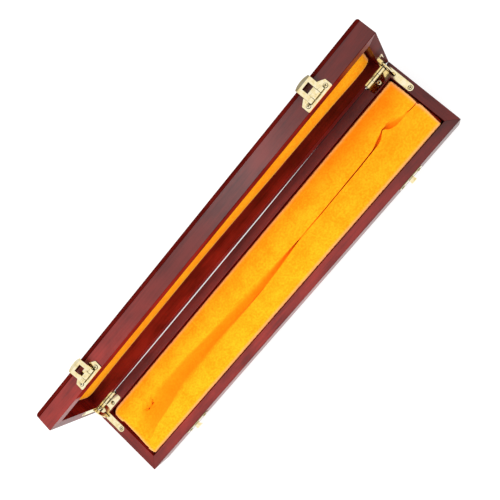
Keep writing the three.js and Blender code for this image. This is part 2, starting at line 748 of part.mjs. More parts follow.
function cushion(isBack) {
  const curve = isBack ? backLip : frontLip;
  const leftRadius = isBack ? padWideCornerRadius : padEndRadius;
  return loft(padStations(curve, leftRadius), (x) => padSection(x, isBack));
}

// A thin padded panel: rings of a rounded rectangle, each drawn in and at its own height
function paddedPanel(halfX, halfY, cornerRadius, rings) {
  const positions = [];
  const index = [];
  const perCorner = 5;
  const signs = [[1, 1], [-1, 1], [-1, -1], [1, -1]];
  rings.forEach(([inset, height]) => {
    const radius = Math.max(cornerRadius - inset, 0.5);
    signs.forEach(([sx, sy], quarter) => {
      for (let step = 0; step <= perCorner; step += 1) {
        const angle = (quarter + step / perCorner) * Math.PI / 2;
        const cx = sx * (halfX - inset - radius);
        const cy = sy * (halfY - inset - radius);
        positions.push(cx + radius * Math.cos(angle), cy + radius * Math.sin(angle), height);
      }
    });
  });
  const count = signs.length * (perCorner + 1);
  for (let ring = 0; ring + 1 < rings.length; ring += 1) {
    for (let step = 0; step < count; step += 1) {
      const next = (step + 1) % count;
      const a = ring * count + step;
      const b = ring * count + next;
      index.push(a, b, a + count, b, b + count, a + count);
    }
  }
  const last = (rings.length - 1) * count;
  for (let step = 1; step + 1 < count; step += 1) {
    index.push(0, step + 1, step);
    index.push(last, last + step, last + step + 1);
  }
  const geometry = new THREE.BufferGeometry();
  geometry.setAttribute('position', new THREE.Float32BufferAttribute(positions, 3));
  geometry.setIndex(index);
  geometry.computeVertexNormals();
  return geometry;
}

// The assembly

const box = new THREE.Group();
const lid = new THREE.Group();
lid.position.set(0, axisY, axisZ);
lid.rotation.x = -THREE.MathUtils.degToRad(lidOpenAngle);
const shutLid = new THREE.Group(); // holds the lid's pieces in the places they have when shut
shutLid.position.set(0, -axisY, -axisZ);
lid.add(shutLid);
box.add(lid);

function addPiece(parent, name, shape, finish) {
  const geometry = shape.isBufferGeometry ? shape : toGeometry(shape);
  const mesh = new THREE.Mesh(geometry, new THREE.MeshStandardMaterial(finishes[finish]));
  mesh.name = name;
  parent.add(mesh);
  return mesh;
}

const sides = ['front', 'back', 'left', 'right'];
const hands = { left: -1, right: 1 };
const lidPlateScrewZ = lidRimZ + plateRimMargin + plateScrewHeight;
const catchScrewZ = baseHeight - catchRimMargin - catchHeight / 2;

function frontScrewHoles(z) {
  return Object.values(hands)
    .flatMap((hand) => latchScrewPlaces(hand * latchX, z))
    .map(([x, height]) => shankHole(x, height));
}

// Boards, each cut for what is let into it
sides.forEach((side) => {
  const hinges = side === 'front' ? [] : Object.values(hands).flatMap((hand) => hingeCutters(hand, false));
  const screws = side === 'front' ? frontScrewHoles(catchScrewZ) : [];
  const blank = wallBlank(baseWallSection(), side, 0, baseHeight);
  addPiece(box, `base_${side}`, subtractAll(blank, [...hinges, ...screws]), 'lacquer');
});
addPiece(box, 'base_bottom', bottomPanel(), 'lacquer');
sides.forEach((side) => {
  const hinges = side === 'front' ? [] : Object.values(hands).flatMap((hand) => hingeCutters(hand, true));
  const screws = side === 'front' ? frontScrewHoles(lidPlateScrewZ) : [];
  const blank = wallBlank(lidWallSection(), side, lidRimZ, lidFrameTopZ);
  addPiece(shutLid, `lid_${side}`, subtractAll(blank, [...hinges, ...screws]), 'lacquer');
});
addPiece(shutLid, 'lid_top', lidTopBoard(), 'lacquer');

// Linings
addPiece(box, 'cushion_back', cushion(true), 'velvet');
addPiece(box, 'cushion_front', cushion(false), 'velvet');
const liningHalfX = innerHalfLength - liningEndGap;
const liningHalfY = innerHalfDepth - liningSideGap;
const cardTopZ = lidFrameTopZ;
const cardLowZ = cardTopZ - liningCardThickness;
const liningTopZ = cardLowZ - glueLine;
const liningLowZ = liningTopZ - liningThickness;
addPiece(shutLid, 'lid_lining_card', paddedPanel(
  liningHalfX - liningCardInset, liningHalfY - liningCardInset, liningCornerRadius - liningCardInset,
  [[0, cardLowZ], [0, cardTopZ]]), 'card');
addPiece(shutLid, 'lid_lining', paddedPanel(liningHalfX, liningHalfY, liningCornerRadius, [
  [9, liningLowZ], [5, liningLowZ + 0.06], [2.4, liningLowZ + 0.22], [0.9, liningLowZ + 0.55],
  [0.15, liningLowZ + 1], [0.3, liningTopZ],
]), 'velvet');

// Hinges with their stays, pins and screws
Object.entries(hands).forEach(([hand, side]) => {
  addPiece(box, `${hand}_hinge_base_leaf`, hingeLeaf(side, false), 'brass');
  addPiece(shutLid, `${hand}_hinge_lid_leaf`, hingeLeaf(side, true), 'brass');
  addPiece(box, `${hand}_hinge_pin`, hingePin(side), 'brass');
  const stay = addPiece(box, `${hand}_quadrant_stay`, quadrantStay(), 'brass');
  stay.position.set(side * armCentreX, axisY, axisZ);
  [false, true].forEach((isLid) => {
    const { face, flip } = hingeHeights(isLid);
    leafScrewPlaces(side).forEach(([x, y], index) => {
      const name = `${hand}_hinge_${isLid ? 'lid' : 'base'}_${index === 0 ? 'leg' : 'arm'}_screw`;
      addPiece(isLid ? shutLid : box, name, sunkScrewSolid(x, y, face, flip, 0), 'brass');
    });
  });
});

// Latches on the lid and catches on the base
Object.entries(hands).forEach(([hand, side]) => {
  const centreX = side * latchX;
  const seatY = frontY - 2 * glueLine - plateThickness;
  addPiece(shutLid, `${hand}_latch_plate`, latchPlate(centreX), 'brass');
  addPiece(shutLid, `${hand}_hasp_pin`, haspPin(), 'brass').position.set(centreX, pivotY, pivotZ);
  const thrownOpen = new THREE.Group();
  thrownOpen.position.set(centreX, pivotY, pivotZ);
  thrownOpen.rotation.x = -THREE.MathUtils.degToRad(haspSwing);
  shutLid.add(thrownOpen);
  addPiece(thrownOpen, `${hand}_hasp`, hasp(), 'brass');
  addPiece(box, `${hand}_catch`, catchPlate(centreX), 'brass');
  latchScrewPlaces(centreX, lidPlateScrewZ).forEach(([x, z], index) => addPiece(
    shutLid, `${hand}_latch_screw_${index + 1}`, domeScrew(x, seatY, z), 'brass'));
  latchScrewPlaces(centreX, catchScrewZ).forEach(([x, z], index) => addPiece(
    box, `${hand}_catch_screw_${index + 1}`, domeScrew(x, seatY, z), 'brass'));
});

export default box;
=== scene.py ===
# Wooden fan box: lacquered boards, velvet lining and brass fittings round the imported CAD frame
import json
import math

import bmesh
import bpy
from mathutils import Matrix, Vector, noise

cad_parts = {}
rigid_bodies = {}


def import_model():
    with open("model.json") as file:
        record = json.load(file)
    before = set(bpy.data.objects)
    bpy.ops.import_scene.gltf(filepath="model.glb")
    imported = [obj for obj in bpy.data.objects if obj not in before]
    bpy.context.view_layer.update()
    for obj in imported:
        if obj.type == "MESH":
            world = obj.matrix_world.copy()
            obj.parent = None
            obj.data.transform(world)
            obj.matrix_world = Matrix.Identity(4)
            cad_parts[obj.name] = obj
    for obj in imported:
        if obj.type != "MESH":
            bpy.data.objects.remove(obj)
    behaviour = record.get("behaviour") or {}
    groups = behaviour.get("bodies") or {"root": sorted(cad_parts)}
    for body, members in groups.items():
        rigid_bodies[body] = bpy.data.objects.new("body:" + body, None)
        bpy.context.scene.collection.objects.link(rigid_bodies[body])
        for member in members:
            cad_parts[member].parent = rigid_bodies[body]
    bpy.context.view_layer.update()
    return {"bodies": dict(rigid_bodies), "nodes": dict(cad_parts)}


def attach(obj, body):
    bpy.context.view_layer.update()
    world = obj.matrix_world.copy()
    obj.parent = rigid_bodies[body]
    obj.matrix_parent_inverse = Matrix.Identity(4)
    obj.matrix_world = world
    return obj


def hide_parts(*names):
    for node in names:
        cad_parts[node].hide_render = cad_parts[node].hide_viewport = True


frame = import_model()
nodes = frame["nodes"]
scene = bpy.context.scene
scene.view_settings.view_transform = "Standard"
mm = 0.001
# The lid's axis in mm, and how far it stands open at rest
hinge = {"y": 32.15, "z": 28.15, "openDegrees": 94.5}
print("frame loaded:", len(nodes), "nodes")


# A point in mm, or a direction, turned about the lid's axis: sign 1 opens and -1 shuts
def turnLid(place, sign, isPoint=True):
    turn = sign * math.radians(hinge["openDegrees"])
    axisY, axisZ = (hinge["y"], hinge["z"]) if isPoint else (0, 0)
    y, z = place[1] - axisY, place[2] - axisZ
    return (place[0], axisY + y * math.cos(turn) + z * math.sin(turn),
            axisZ - y * math.sin(turn) + z * math.cos(turn))


def turnedOpen(place, isPoint=True):
    return turnLid(place, 1, isPoint)


def turnedShut(place, isPoint=True):
    return turnLid(place, -1, isPoint)


# Camera and studio
studio = {
    "cameraPlace": (106.05, -64.80, 522.24),  # mm
    "cameraRight": (0.630209, -0.733580, -0.254358),
    "cameraDown": (-0.752042, -0.658188, 0.034949),
    "cameraForward": (-0.193053, 0.169262, -0.966479),
    "focalPixels": 691.93,
    "pictureWidth": 500,  # in the same pixels
    "sensorMm": 36,
    "floorMetres": 6,
    "floorHex": "#E8E6E3",
    "floorShownHex": "#969594",  # to the eye, where the glow adds the rest of the white
    "skyStrength": 0.84,
    "floorGlow": 0.82,
    "keyPlace": (-260, 215, 800),
    "keySize": 420,
    "keyWatts": 3.9,
    "frontPlace": (-80, -640, 330),
    "frontSize": 300,
    "frontWatts": 1.5,
    "topPlace": (-25, 330, 760),
    "topSize": 150,
    "topWatts": 0.3,
}


def hexColour(text):
    parts = [int(text[i:i + 2], 16) / 255 for i in (1, 3, 5)]
    linear = [c / 12.92 if c <= 0.04045 else ((c + 0.055) / 1.055) ** 2.4 for c in parts]
    return (*linear, 1.0)


# One node with its settings; an input may get a number, a hex colour or another node's output
def addNode(tree, kind, inputs=None, **settings):
    node = tree.nodes.new(kind)
    for name, value in settings.items():
        setattr(node, name, value)
    for name, value in (inputs or {}).items():
        socket = node.inputs[name]
        if isinstance(value, bpy.types.NodeSocket):
            tree.links.new(value, socket)
        else:
            isHex = isinstance(value, str) and value.startswith("#")
            socket.default_value = hexColour(value) if isHex else value
    return node


def newMaterial(name):
    material = bpy.data.materials.new(name)
    material.use_nodes = True
    material.node_tree.nodes.clear()
    return material, material.node_tree


def finishMaterial(tree, shader):
    addNode(tree, "ShaderNodeOutputMaterial", {"Surface": shader.outputs[0]})


def principled(tree, values):
    finishMaterial(tree, addNode(tree, "ShaderNodeBsdfPrincipled", values))


# A ramp of greys, given as numbers, or of hex colours
def rampNode(tree, value, stops):
    node = addNode(tree, "ShaderNodeValToRGB", {"Fac": value})
    ramp = node.color_ramp
    while len(ramp.elements) < len(stops):
        ramp.elements.new(0.5)
    for element, (place, colour) in zip(ramp.elements, stops):
        element.position = place
        element.color = hexColour(colour) if isinstance(colour, str) else (colour, colour, colour, 1)
    return node.outputs[0]


def mixColour(tree, factor, first, second, blend="MIX"):
    node = addNode(tree, "ShaderNodeMix", {"Factor": factor, 6: first, 7: second},
                   data_type="RGBA", blend_type=blend)
    return node.outputs[2]


def mixNumber(tree, factor, first, second):
    return addNode(tree, "ShaderNodeMix", {"Factor": factor, 2: first, 3: second}, data_type="FLOAT").outputs[0]


def mathNode(tree, operation, first, second):
    return addNode(tree, "ShaderNodeMath", {0: first, 1: second}, operation=operation).outputs[0]


def noiseNode(tree, place, scale, detail, rough=0.5, distortion=0.0):
    return addNode(tree, "ShaderNodeTexNoise", {
        "Vector": place, "Scale": scale, "Detail": detail, "Roughness": rough,
        "Distortion": distortion}).outputs[0]


def objectPlace(tree):
    return addNode(tree, "ShaderNodeTexCoord").outputs["Object"]


def makeCamera():
    data = bpy.data.cameras.new("camera")
    data.sensor_width = studio["sensorMm"]
    data.lens = studio["focalPixels"] * studio["sensorMm"] / studio["pictureWidth"]
    data.clip_start = 0.01
    data.dof.use_dof = False
    camera = bpy.data.objects.new("camera", data)
    right, down, forward = (Vector(studio[key]) for key in ("cameraRight", "cameraDown", "cameraForward"))
    turn = Matrix((right, -down, -forward)).transposed().to_4x4()
    camera.matrix_world = Matrix.Translation(Vector(studio["cameraPlace"]) * mm) @ turn
    scene.collection.objects.link(camera)
    scene.camera = camera


def makeLamp(name, target, isMirrored=True):
    data = bpy.data.lights.new(name, "AREA")
    data.shape = "DISK"
    data.size = studio[name + "Size"] * mm
    data.energy = studio[name + "Watts"]
    lamp = bpy.data.objects.new(name, data)
    lamp.location = Vector(studio[name + "Place"]) * mm
    aim = Vector(target) * mm - lamp.location
    lamp.rotation_euler = aim.to_track_quat("-Z", "Y").to_euler()
    lamp.visible_glossy = isMirrored
    scene.collection.objects.link(lamp)


# 1 for camera, glossy and transmitted rays, which meet plain white, and 0 for other rays
def seenByEye(tree):
    path = addNode(tree, "ShaderNodeLightPath").outputs
    direct = mathNode(tree, "MAXIMUM", path["Is Camera Ray"], path["Is Glossy Ray"])
    return mathNode(tree, "MAXIMUM", direct, path["Is Transmission Ray"])


def makeStudio():
    world = bpy.data.worlds.new("studio")
    scene.world = world
    world.use_nodes = True
    tree = world.node_tree
    tree.nodes.clear()
    strength = mixNumber(tree, seenByEye(tree), studio["skyStrength"], 1.0)
    sky = addNode(tree, "ShaderNodeBackground", {"Color": (1, 1, 1, 1), "Strength": strength})
    addNode(tree, "ShaderNodeOutputWorld", {"Surface": sky.outputs[0]})

    bpy.ops.mesh.primitive_plane_add(size=studio["floorMetres"])
    floor = bpy.context.object
    floor.name = "floor"
    material, tree = newMaterial("paperBackdrop")
    floor.data.materials.append(material)
    eye = seenByEye(tree)
    tone = mixColour(tree, eye, studio["floorHex"], studio["floorShownHex"])
    paper = addNode(tree, "ShaderNodeBsdfDiffuse", {"Color": tone})
    glowLevel = mathNode(tree, "MULTIPLY", eye, studio["floorGlow"])
    glow = addNode(tree, "ShaderNodeEmission", {"Color": (1, 1, 1, 1), "Strength": glowLevel})
    finishMaterial(tree, addNode(tree, "ShaderNodeAddShader", {0: paper.outputs[0], 1: glow.outputs[0]}))
    makeLamp("key", (-40, 0, 30), False)  # a wide scrim, too faint to mirror
    makeLamp("front", (0, 30, 60), False)  # light that the table in front throws back
    makeLamp("top", (0, 0, 30))


makeCamera()
makeStudio()
print("camera and studio made")

# Finishes
lacquer = {
    "deepHex": "#5E110E",
    "warmHex": "#90241C",
    "grainMm": 1.2,  # spacing of the grain lines
    "grainStretch": 0.02,  # their pitch along the grain, as a share of that across it
    "figurePerMetre": (34, 90),  # wide figure of the wood, along and across the grain
    "figureShare": 0.66,
    "rough": 0.3,
    "reach": 172,  # the box's half length, for the rows below
    # how deep the stain is along the box, darker to the right partly from the stain and partly from painted
    # fall-off of light, as x and the share of its colour that is left
    "tones": [(-172, 0.62), (-140, 0.97), (10, 1), (45, 0.85), (75, 0.75), (105, 0.63), (135, 0.52),
              (172, 0.38)],
    # the lid's show face is also darker across its middle, with the same painted fall-off of light to the right
    "lidTones": [(-172, 0.98), (-105, 0.86), (-75, 0.66), (-45, 0.5), (-15, 0.42), (45, 0.45), (75, 0.5),
                 (172, 0.36)],
    # the base's back board, darker with the lid's painted shadow on it as well as its stain and fall-off
    "backTones": [(-172, 0.72), (-100, 0.76), (60, 0.72), (105, 0.55), (135, 0.4), (172, 0.3)],
    "rimTones": [(-172, 0.9), (-105, 1.1), (30, 1.1), (105, 0.95), (172, 0.7)],  # front rim of the lid
    "edgeTones": [(-172, 0.5), (10, 0.45), (172, 0.4)],  # eased outer edges, darker
    # specular levels, in two places as rows of x and the level
    "polish": 0.5,
    "crossPolish": 0.42,
    "matt": 0,
    "satin": 0.1,  # inside the box, which is sprayed and not polished
    "satinCross": [(-172, 0), (0, 0), (20, 0.03), (172, 0.03)],
    "rim": [(-172, 0.5), (-145, 0.5), (-141, 0), (138, 0), (150, 0.3), (172, 0.4)],
    # share of the colour left in corners: painted shade darkens those outside, painted light thrown back by the
    # velvet warms those inside
    "seam": 0.12,
    "insideSeam": 2.2,
    "edgeSeam": 0.9,
}


# Share of open sky over a point within a few millimetres
def openness(tree, reachMm):
    return addNode(tree, "ShaderNodeAmbientOcclusion", {"Distance": reachMm * mm}, samples=12).outputs["AO"]


# Stained hardwood under polished lacquer: deep red-brown, faint long grain, soft clear reflections, painted
# fall-off of light along the box and painted shade in its corners
def makeLacquer(name, along, tones, shine="polish", seam="seam"):
    material, tree = newMaterial(name)
    place = objectPlace(tree)
    pitch = 1 / (lacquer["grainMm"] * mm)
    stretch = lacquer["grainStretch"]
    grainPlace = addNode(tree, "ShaderNodeMapping", {
        "Vector": place, "Scale": [pitch * stretch if axis == along else pitch for axis in "xyz"]})
    grain = noiseNode(tree, grainPlace.outputs[0], 1.0, 4.0, 0.6, 0.4)
    figureScale = [lacquer["figurePerMetre"][axis != along] for axis in "xyz"]
    figurePlace = addNode(tree, "ShaderNodeMapping", {"Vector": place, "Scale": figureScale})
    figure = noiseNode(tree, figurePlace.outputs[0], 1.0, 3.0, 0.55)
    colour = rampNode(tree, mixNumber(tree, lacquer["figureShare"], grain, figure), [
        (0.36, lacquer["deepHex"]), (0.62, lacquer["warmHex"])])
    reach = lacquer["reach"]
    across = addNode(tree, "ShaderNodeMapRange", {
        "Value": addNode(tree, "ShaderNodeSeparateXYZ", {"Vector": place}).outputs[0],
        "From Min": -reach * mm, "From Max": reach * mm})

    def alongBox(rows):
        return rampNode(tree, across.outputs[0], [((x + reach) / (2 * reach), level) for x, level in rows])

    # stain along the box together with painted fall-off of light
    toned = mixColour(tree, 1.0, colour, alongBox(lacquer[tones]), "MULTIPLY")
    # painted shade and painted bounce light in corners, from how open the sky is over each point
    corners = rampNode(tree, openness(tree, 1.8), [(0.4, lacquer[seam]), (0.85, 1)])
    cornerShadedColour = mixColour(tree, 1.0, toned, corners, "MULTIPLY")
    bump = addNode(tree, "ShaderNodeBump", {"Strength": 0.08, "Distance": 0.0002, "Height": grain})
    level = lacquer[shine]
    if isinstance(level, list):
        level = alongBox(level)
    principled(tree, {"Base Color": cornerShadedColour, "Roughness": lacquer["rough"], "Normal": bump.outputs[0],
                      "Specular IOR Level": level})
    return material


velvet = {
    "lightHex": "#FFB61C",
    "darkHex": "#FF960E",
    # pressed nap, and also the painted shade towards the lid and the right end
    "deepHex": "#FF7A06",
    "gapHex": "#841404",  # painted shade down in the gaps, where light only reaches through the pile
    # painted sheen where the pile is seen edge-on along the rolled edges
    "sheenFringeHex": "#FFB872",
    "sheenHex": "#FFC890",
    "fibreMm": 1.5,
    "napMm": 12,
    "napShare": 0.4,  # of the mottling, the rest is fibre
    "gapShadeFrom": 1,  # pressed values over this turn the deep colour to the painted shade of the gaps
    "gapShadeTo": 3,
}


# Short-pile polyester velvet: matt orange-yellow, mottled nap, deeper where the pile is pressed down and where
# painted shade falls, and paler along the edges with a painted sheen
def makeVelvet(name):
    material, tree = newMaterial(name)
    place = objectPlace(tree)
    fibre = noiseNode(tree, place, 1 / (velvet["fibreMm"] * mm), 3.0, 0.7)
    nap = noiseNode(tree, place, 1 / (velvet["napMm"] * mm), 4.0, 0.6)
    colour = rampNode(tree, mixNumber(tree, velvet["napShare"], fibre, nap), [
        (0.39, velvet["darkHex"]), (0.6, velvet["lightHex"])])
    press = addNode(tree, "ShaderNodeAttribute", attribute_name="pressed").outputs["Fac"]
    edge = addNode(tree, "ShaderNodeAttribute", attribute_name="fringe").outputs["Fac"]
    deep = mixColour(tree, press, colour, velvet["deepHex"])
    gapShade = addNode(tree, "ShaderNodeMapRange", {
        "Value": press, "From Min": velvet["gapShadeFrom"], "From Max": velvet["gapShadeTo"]})
    gapShaded = mixColour(tree, gapShade.outputs[0], deep, velvet["gapHex"])
    sheenEdged = mixColour(tree, edge, gapShaded, velvet["sheenFringeHex"])
    bump = addNode(tree, "ShaderNodeBump", {"Strength": 0.7, "Distance": 0.0005, "Height": fibre})
    principled(tree, {
        "Base Color": sheenEdged, "Roughness": 1.0, "Specular IOR Level": 0.08, "Normal": bump.outputs[0],
        "Sheen Weight": 0.08, "Sheen Roughness": 0.4, "Sheen Tint": velvet["sheenHex"]})
    return material


brass = {
    "paleHex": "#FFF3CE",
    "deepHex": "#F9E5AE",
    "stainHex": "#DAC894",
    "shadeHex": "#6A4526",
    # dark painted shade in creases, screw recesses and the hasp's lip
    "darkHex": "#1A0A04",
    "cloudPerMetre": 380,
    "rough": 0.05,
    "worn": 0.05,  # roughness that handling adds
    "wideMm": 14,  # reach of the broad shade between fittings and walls
    "narrowMm": 1.3,  # reach of the painted shade in creases
}


# Brass-plated steel, bright rolled: pale yellow, mirror-like with faint handling marks, painted shade between
# fittings and walls and dark painted shade in creases and recesses
def makeBrass(name):
    material, tree = newMaterial(name)
    cloud = noiseNode(tree, objectPlace(tree), brass["cloudPerMetre"], 3.0, 0.6)
    colour = rampNode(tree, cloud, [
        (0.28, brass["stainHex"]), (0.42, brass["deepHex"]), (0.62, brass["paleHex"])])
    wide = rampNode(tree, openness(tree, brass["wideMm"]), [(0.12, 1), (0.5, 0)])
    shaded = mixColour(tree, wide, colour, brass["shadeHex"])
    narrow = rampNode(tree, openness(tree, brass["narrowMm"]), [(0.5, 1), (0.9, 0)])
    own = addNode(tree, "ShaderNodeAttribute", attribute_name="tarnish").outputs["Fac"]
    creaseShaded = mixColour(tree, mathNode(tree, "MAXIMUM", narrow, own), shaded, brass["darkHex"])
    dull = addNode(tree, "ShaderNodeMapRange", {
        "Value": cloud, "From Min": 0.3, "From Max": 0.7,
        "To Min": brass["rough"], "To Max": brass["rough"] + brass["worn"]})
    principled(tree, {"Base Color": creaseShaded, "Metallic": 1.0, "Roughness": dull.outputs[0]})
    return material


card = {"darkHex": "#A39478", "paleHex": "#C4B596", "pulpPerMetre": 900, "rough": 0.9}


# Grey-brown pulp board, matt
def makeCard(name):
    material, tree = newMaterial(name)
    pulp = noiseNode(tree, objectPlace(tree), card["pulpPerMetre"], 4.0)
    colour = rampNode(tree, pulp, [(0.3, card["darkHex"]), (0.7, card["paleHex"])])
    principled(tree, {"Base Color": colour, "Roughness": card["rough"]})
    return material


# Rows of name, way of the grain, then tones with painted fall-off of light, shine and corners as keys of the
# lacquer
lacquers = {row[0]: makeLacquer(*row) for row in (
    ("lacqueredHardwoodLong", "x", "tones"),
    ("lacqueredHardwoodCross", "y", "tones", "crossPolish"),
    ("lacqueredHardwoodBack", "x", "backTones"),
    ("lacqueredHardwoodLidFront", "x", "lidTones"),
    ("satinHardwoodLong", "x", "tones", "satin", "insideSeam"),
    ("satinHardwoodCross", "y", "tones", "satinCross", "insideSeam"),
    ("mattHardwoodRim", "x", "rimTones", "rim"),
    ("mattHardwoodEdge", "x", "edgeTones", "matt", "edgeSeam"))}
velvetPile = makeVelvet("shortPileVelvet")
brassPlate = makeBrass("platedBrass")
greyBoard = makeCard("pulpBoard")
print("finishes made")


def setMaterial(obj, material):
    obj.data.materials.clear()
    obj.data.materials.append(material)


def linkMesh(name, mesh, material):
    obj = bpy.data.objects.new(name, mesh)
    scene.collection.objects.link(obj)
    setMaterial(obj, material)
    return obj


# Puts the mesh that a modifier gives in place of the object's own
def bakeModifier(obj, modifier):
    graph = bpy.context.evaluated_depsgraph_get()
    result = bpy.data.meshes.new_from_object(obj.evaluated_get(graph), depsgraph=graph)
    obj.modifiers.remove(modifier)
    old = obj.data
    result.name = old.name
    obj.data = result
    bpy.data.meshes.remove(old)


def applyModifier(obj, kind, **settings):
    modifier = obj.modifiers.new(kind.lower(), kind)
    for name, value in settings.items():
        setattr(modifier, name, value)
    bakeModifier(obj, modifier)


# Runs one edit on a mesh, or on what another mesh holds
def editMesh(mesh, action, source=None):
    shape = bmesh.new()
    shape.from_mesh(source or mesh)
    action(shape)
    shape.to_mesh(mesh)
    shape.free()


def newMesh(name, points, faces):
    mesh = bpy.data.meshes.new(name)
    mesh.from_pydata(points, [], faces)
    return mesh


def faceOutwards(mesh):
    editMesh(mesh, lambda shape: bmesh.ops.recalc_face_normals(shape, faces=shape.faces))
    return mesh


# Smooth shading that keeps flat faces flat and edges over the angle sharp
def smoothFlat(obj, degrees=34):
    obj.data.shade_smooth()
    obj.data.set_sharp_from_angle(angle=math.radians(degrees))
    applyModifier(obj, "WEIGHTED_NORMAL", keep_sharp=True, weight=80)


# A copy of a CAD piece with merged corners and flat faces joined, ready for edge work
def pieceFromNode(name, material):
    mesh = bpy.data.meshes.new(name + "_dressed")

    def merge(shape):
        bmesh.ops.remove_doubles(shape, verts=shape.verts, dist=2e-6)
        bmesh.ops.dissolve_limit(shape, angle_limit=math.radians(0.6), verts=shape.verts, edges=shape.edges)

    editMesh(mesh, merge, nodes[name].data)
    return linkMesh(name + "_dressed", mesh, material)


def easeEdges(obj, width, degrees, accept, segments=3):
    def ease(shape):
        picked = [edge for edge in shape.edges
                  if edge.is_manifold and edge.calc_face_angle() > math.radians(degrees) and accept(edge)]
        bmesh.ops.bevel(shape, geom=picked, offset=width * mm, segments=segments, profile=0.5,
                        affect="EDGES", clamp_overlap=True)

    editMesh(obj.data, ease)


def clamp(t):
    return min(1.0, max(0.0, t))


def smoothStep(t):
    t = clamp(t)
    return t * t * (3 - 2 * t)


# Smooth curve through the rows at a given place; each row is a place and its values
def rowAt(rows, place):
    if rows[0][0] > rows[-1][0]:
        rows = rows[::-1]
    last = len(rows) - 1
    index = next((i for i in range(last) if rows[i + 1][0] >= place), last - 1)
    a, b = rows[index], rows[index + 1]
    before, after = rows[max(index - 1, 0)], rows[min(index + 2, last)]
    span = b[0] - a[0]
    t = clamp((place - a[0]) / span)
    values = []
    for column in range(1, len(a)):
        startSlope = (b[column] - before[column]) / (b[0] - before[0]) * span
        endSlope = (after[column] - a[column]) / (after[0] - a[0]) * span
        value = ((2 * t ** 3 - 3 * t ** 2 + 1) * a[column] + (t ** 3 - 2 * t ** 2 + t) * startSlope
                 + (3 * t ** 2 - 2 * t ** 3) * b[column] + (t ** 3 - t ** 2) * endSlope)
        low, high = sorted((a[column], b[column]))
        spare = (high - low) * 0.1
        values.append(min(high + spare, max(low - spare, value)))
    return values


# Boards
boards = {
    "ease": 0.35,
    "hingeEase": 0.1,  # along the two edges that face each other over the hinge line
    "sharpDegrees": 60,
    "longest": 8,  # edges up to this length, such as those of a mitre, stay crisp
    "insideX": 165.1,
    "insideY": 24.35,
    "outsideX": 171.9,
    "frontY": 31.2,
    "showY": 31,
    "topEdgeY": 29,
    "rimZ": 28.4,
    "hingeLine": (31.6, 27.8, 28.5),  # least y, then the least and greatest z of the edges by the hinges
    "bowCutMm": 10,
    "bowY": 31.2,
    "bowFoot": 12,  # height over the table where the bow starts, and how far up it grows
    "bowRise": 16,
    # how far the base's back bows out, as x and mm
    "bow": [(-172, 0.4), (-150, 0.5), (-140, 0.45), (-125, 0.28), (-100, 0.1), (-80, 0.03), (25, 0.06),
            (45, 0.2), (65, 0.4), (80, 0.58), (100, 0.76), (145, 0.76), (172, 0.5)],
}


# The base's back board bows out a little at its top outer edge, and the corners go with it
def bowOut(board, cuts):
    def bow(shape):
        for cut in cuts:
            bmesh.ops.bisect_plane(shape, geom=shape.verts[:] + shape.edges[:] + shape.faces[:],
                                   plane_co=(cut * mm, 0, 0), plane_no=(1, 0, 0))
        for vert in shape.verts:
            x, y, z = vert.co / mm
            if y > boards["bowY"]:
                share = smoothStep((z - boards["bowFoot"]) / boards["bowRise"])
                vert.co.y += rowAt(boards["bow"], x)[0] * share * mm

    editMesh(board.data, bow)


def isByHinge(edge, body):
    leastY, leastZ, mostZ = boards["hingeLine"]
    for vert in edge.verts:
        _, y, z = turnedShut(vert.co / mm) if body == "lid" else vert.co / mm
        if y < leastY or not leastZ < z < mostZ:
            return False
    return True


# Coats of a board: outside, inside, for the lid's front also its show face and rim, then eased edges
def coatsOf(name):
    isCross = name.endswith(("left", "right"))
    # the back board's finish carries the lid's painted shadow
    grain = "Cross" if isCross else "Back" if name == "base_back" else "Long"
    coats = {"outside": "lacqueredHardwood" + grain,
             "inside": "satinHardwood" + ("Cross" if isCross else "Long")}
    if name == "lid_front":
        coats.update(show="lacqueredHardwoodLidFront", rim="mattHardwoodRim")
    coats["edge"] = "mattHardwoodEdge"
    return coats


# Which coat a face has, from its middle and its normal with the lid shut
def coatAt(name, middle, normal):
    x, y, z = middle
    isOuter = abs(x) > boards["outsideX"] or y < -boards["frontY"]
    isEased = max(abs(c) for c in normal) < 0.97
    isInside = abs(x) < boards["insideX"] and abs(y) < boards["insideY"]
    isRim = name.startswith("lid") and z < boards["rimZ"] and not isInside
    if isOuter and isEased and not name.endswith("back"):
        return "edge"
    if isRim and name == "lid_front":
        return "rim"
    if isInside or (isRim and name != "lid_left"):
        return "inside"
    if name == "lid_front" and y < -boards["showY"]:
        return "show"
    return "edge" if name == "lid_top" and y < -boards["topEdgeY"] else "outside"


def coatFaces(board, name, body):
    coats = coatsOf(name)
    board.data.materials.clear()
    for finish in coats.values():
        board.data.materials.append(lacquers[finish])
    for face in board.data.polygons:
        middle, normal = face.center / mm, face.normal
        if body == "lid":
            middle, normal = turnedShut(middle), turnedShut(normal, False)
        face.material_index = list(coats).index(coatAt(name, middle, normal))


for nodeName in sorted(nodes):
    body = nodeName.split("_")[0]
    if body not in ("base", "lid") or nodeName.count("_") != 1 or nodeName == "lid_lining":
        continue
    board = pieceFromNode(nodeName, lacquers["lacqueredHardwoodLong"])
    axis = 1 if nodeName.endswith(("left", "right")) else 0

    def isLong(edge):
        return abs(edge.verts[0].co[axis] - edge.verts[1].co[axis]) > boards["longest"] * mm

    sharp = boards["sharpDegrees"]
    easeEdges(board, boards["ease"], sharp, lambda edge: isLong(edge) and not isByHinge(edge, body))
    easeEdges(board, boards["hingeEase"], sharp, lambda edge: isLong(edge) and isByHinge(edge, body), 2)
    if body == "base":
        bowOut(board, range(-160, 161, boards["bowCutMm"]) if nodeName == "base_back" else [])
    coatFaces(board, nodeName, body)
    smoothFlat(board)
    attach(board, body)
    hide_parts(nodeName)
print("boards dressed")

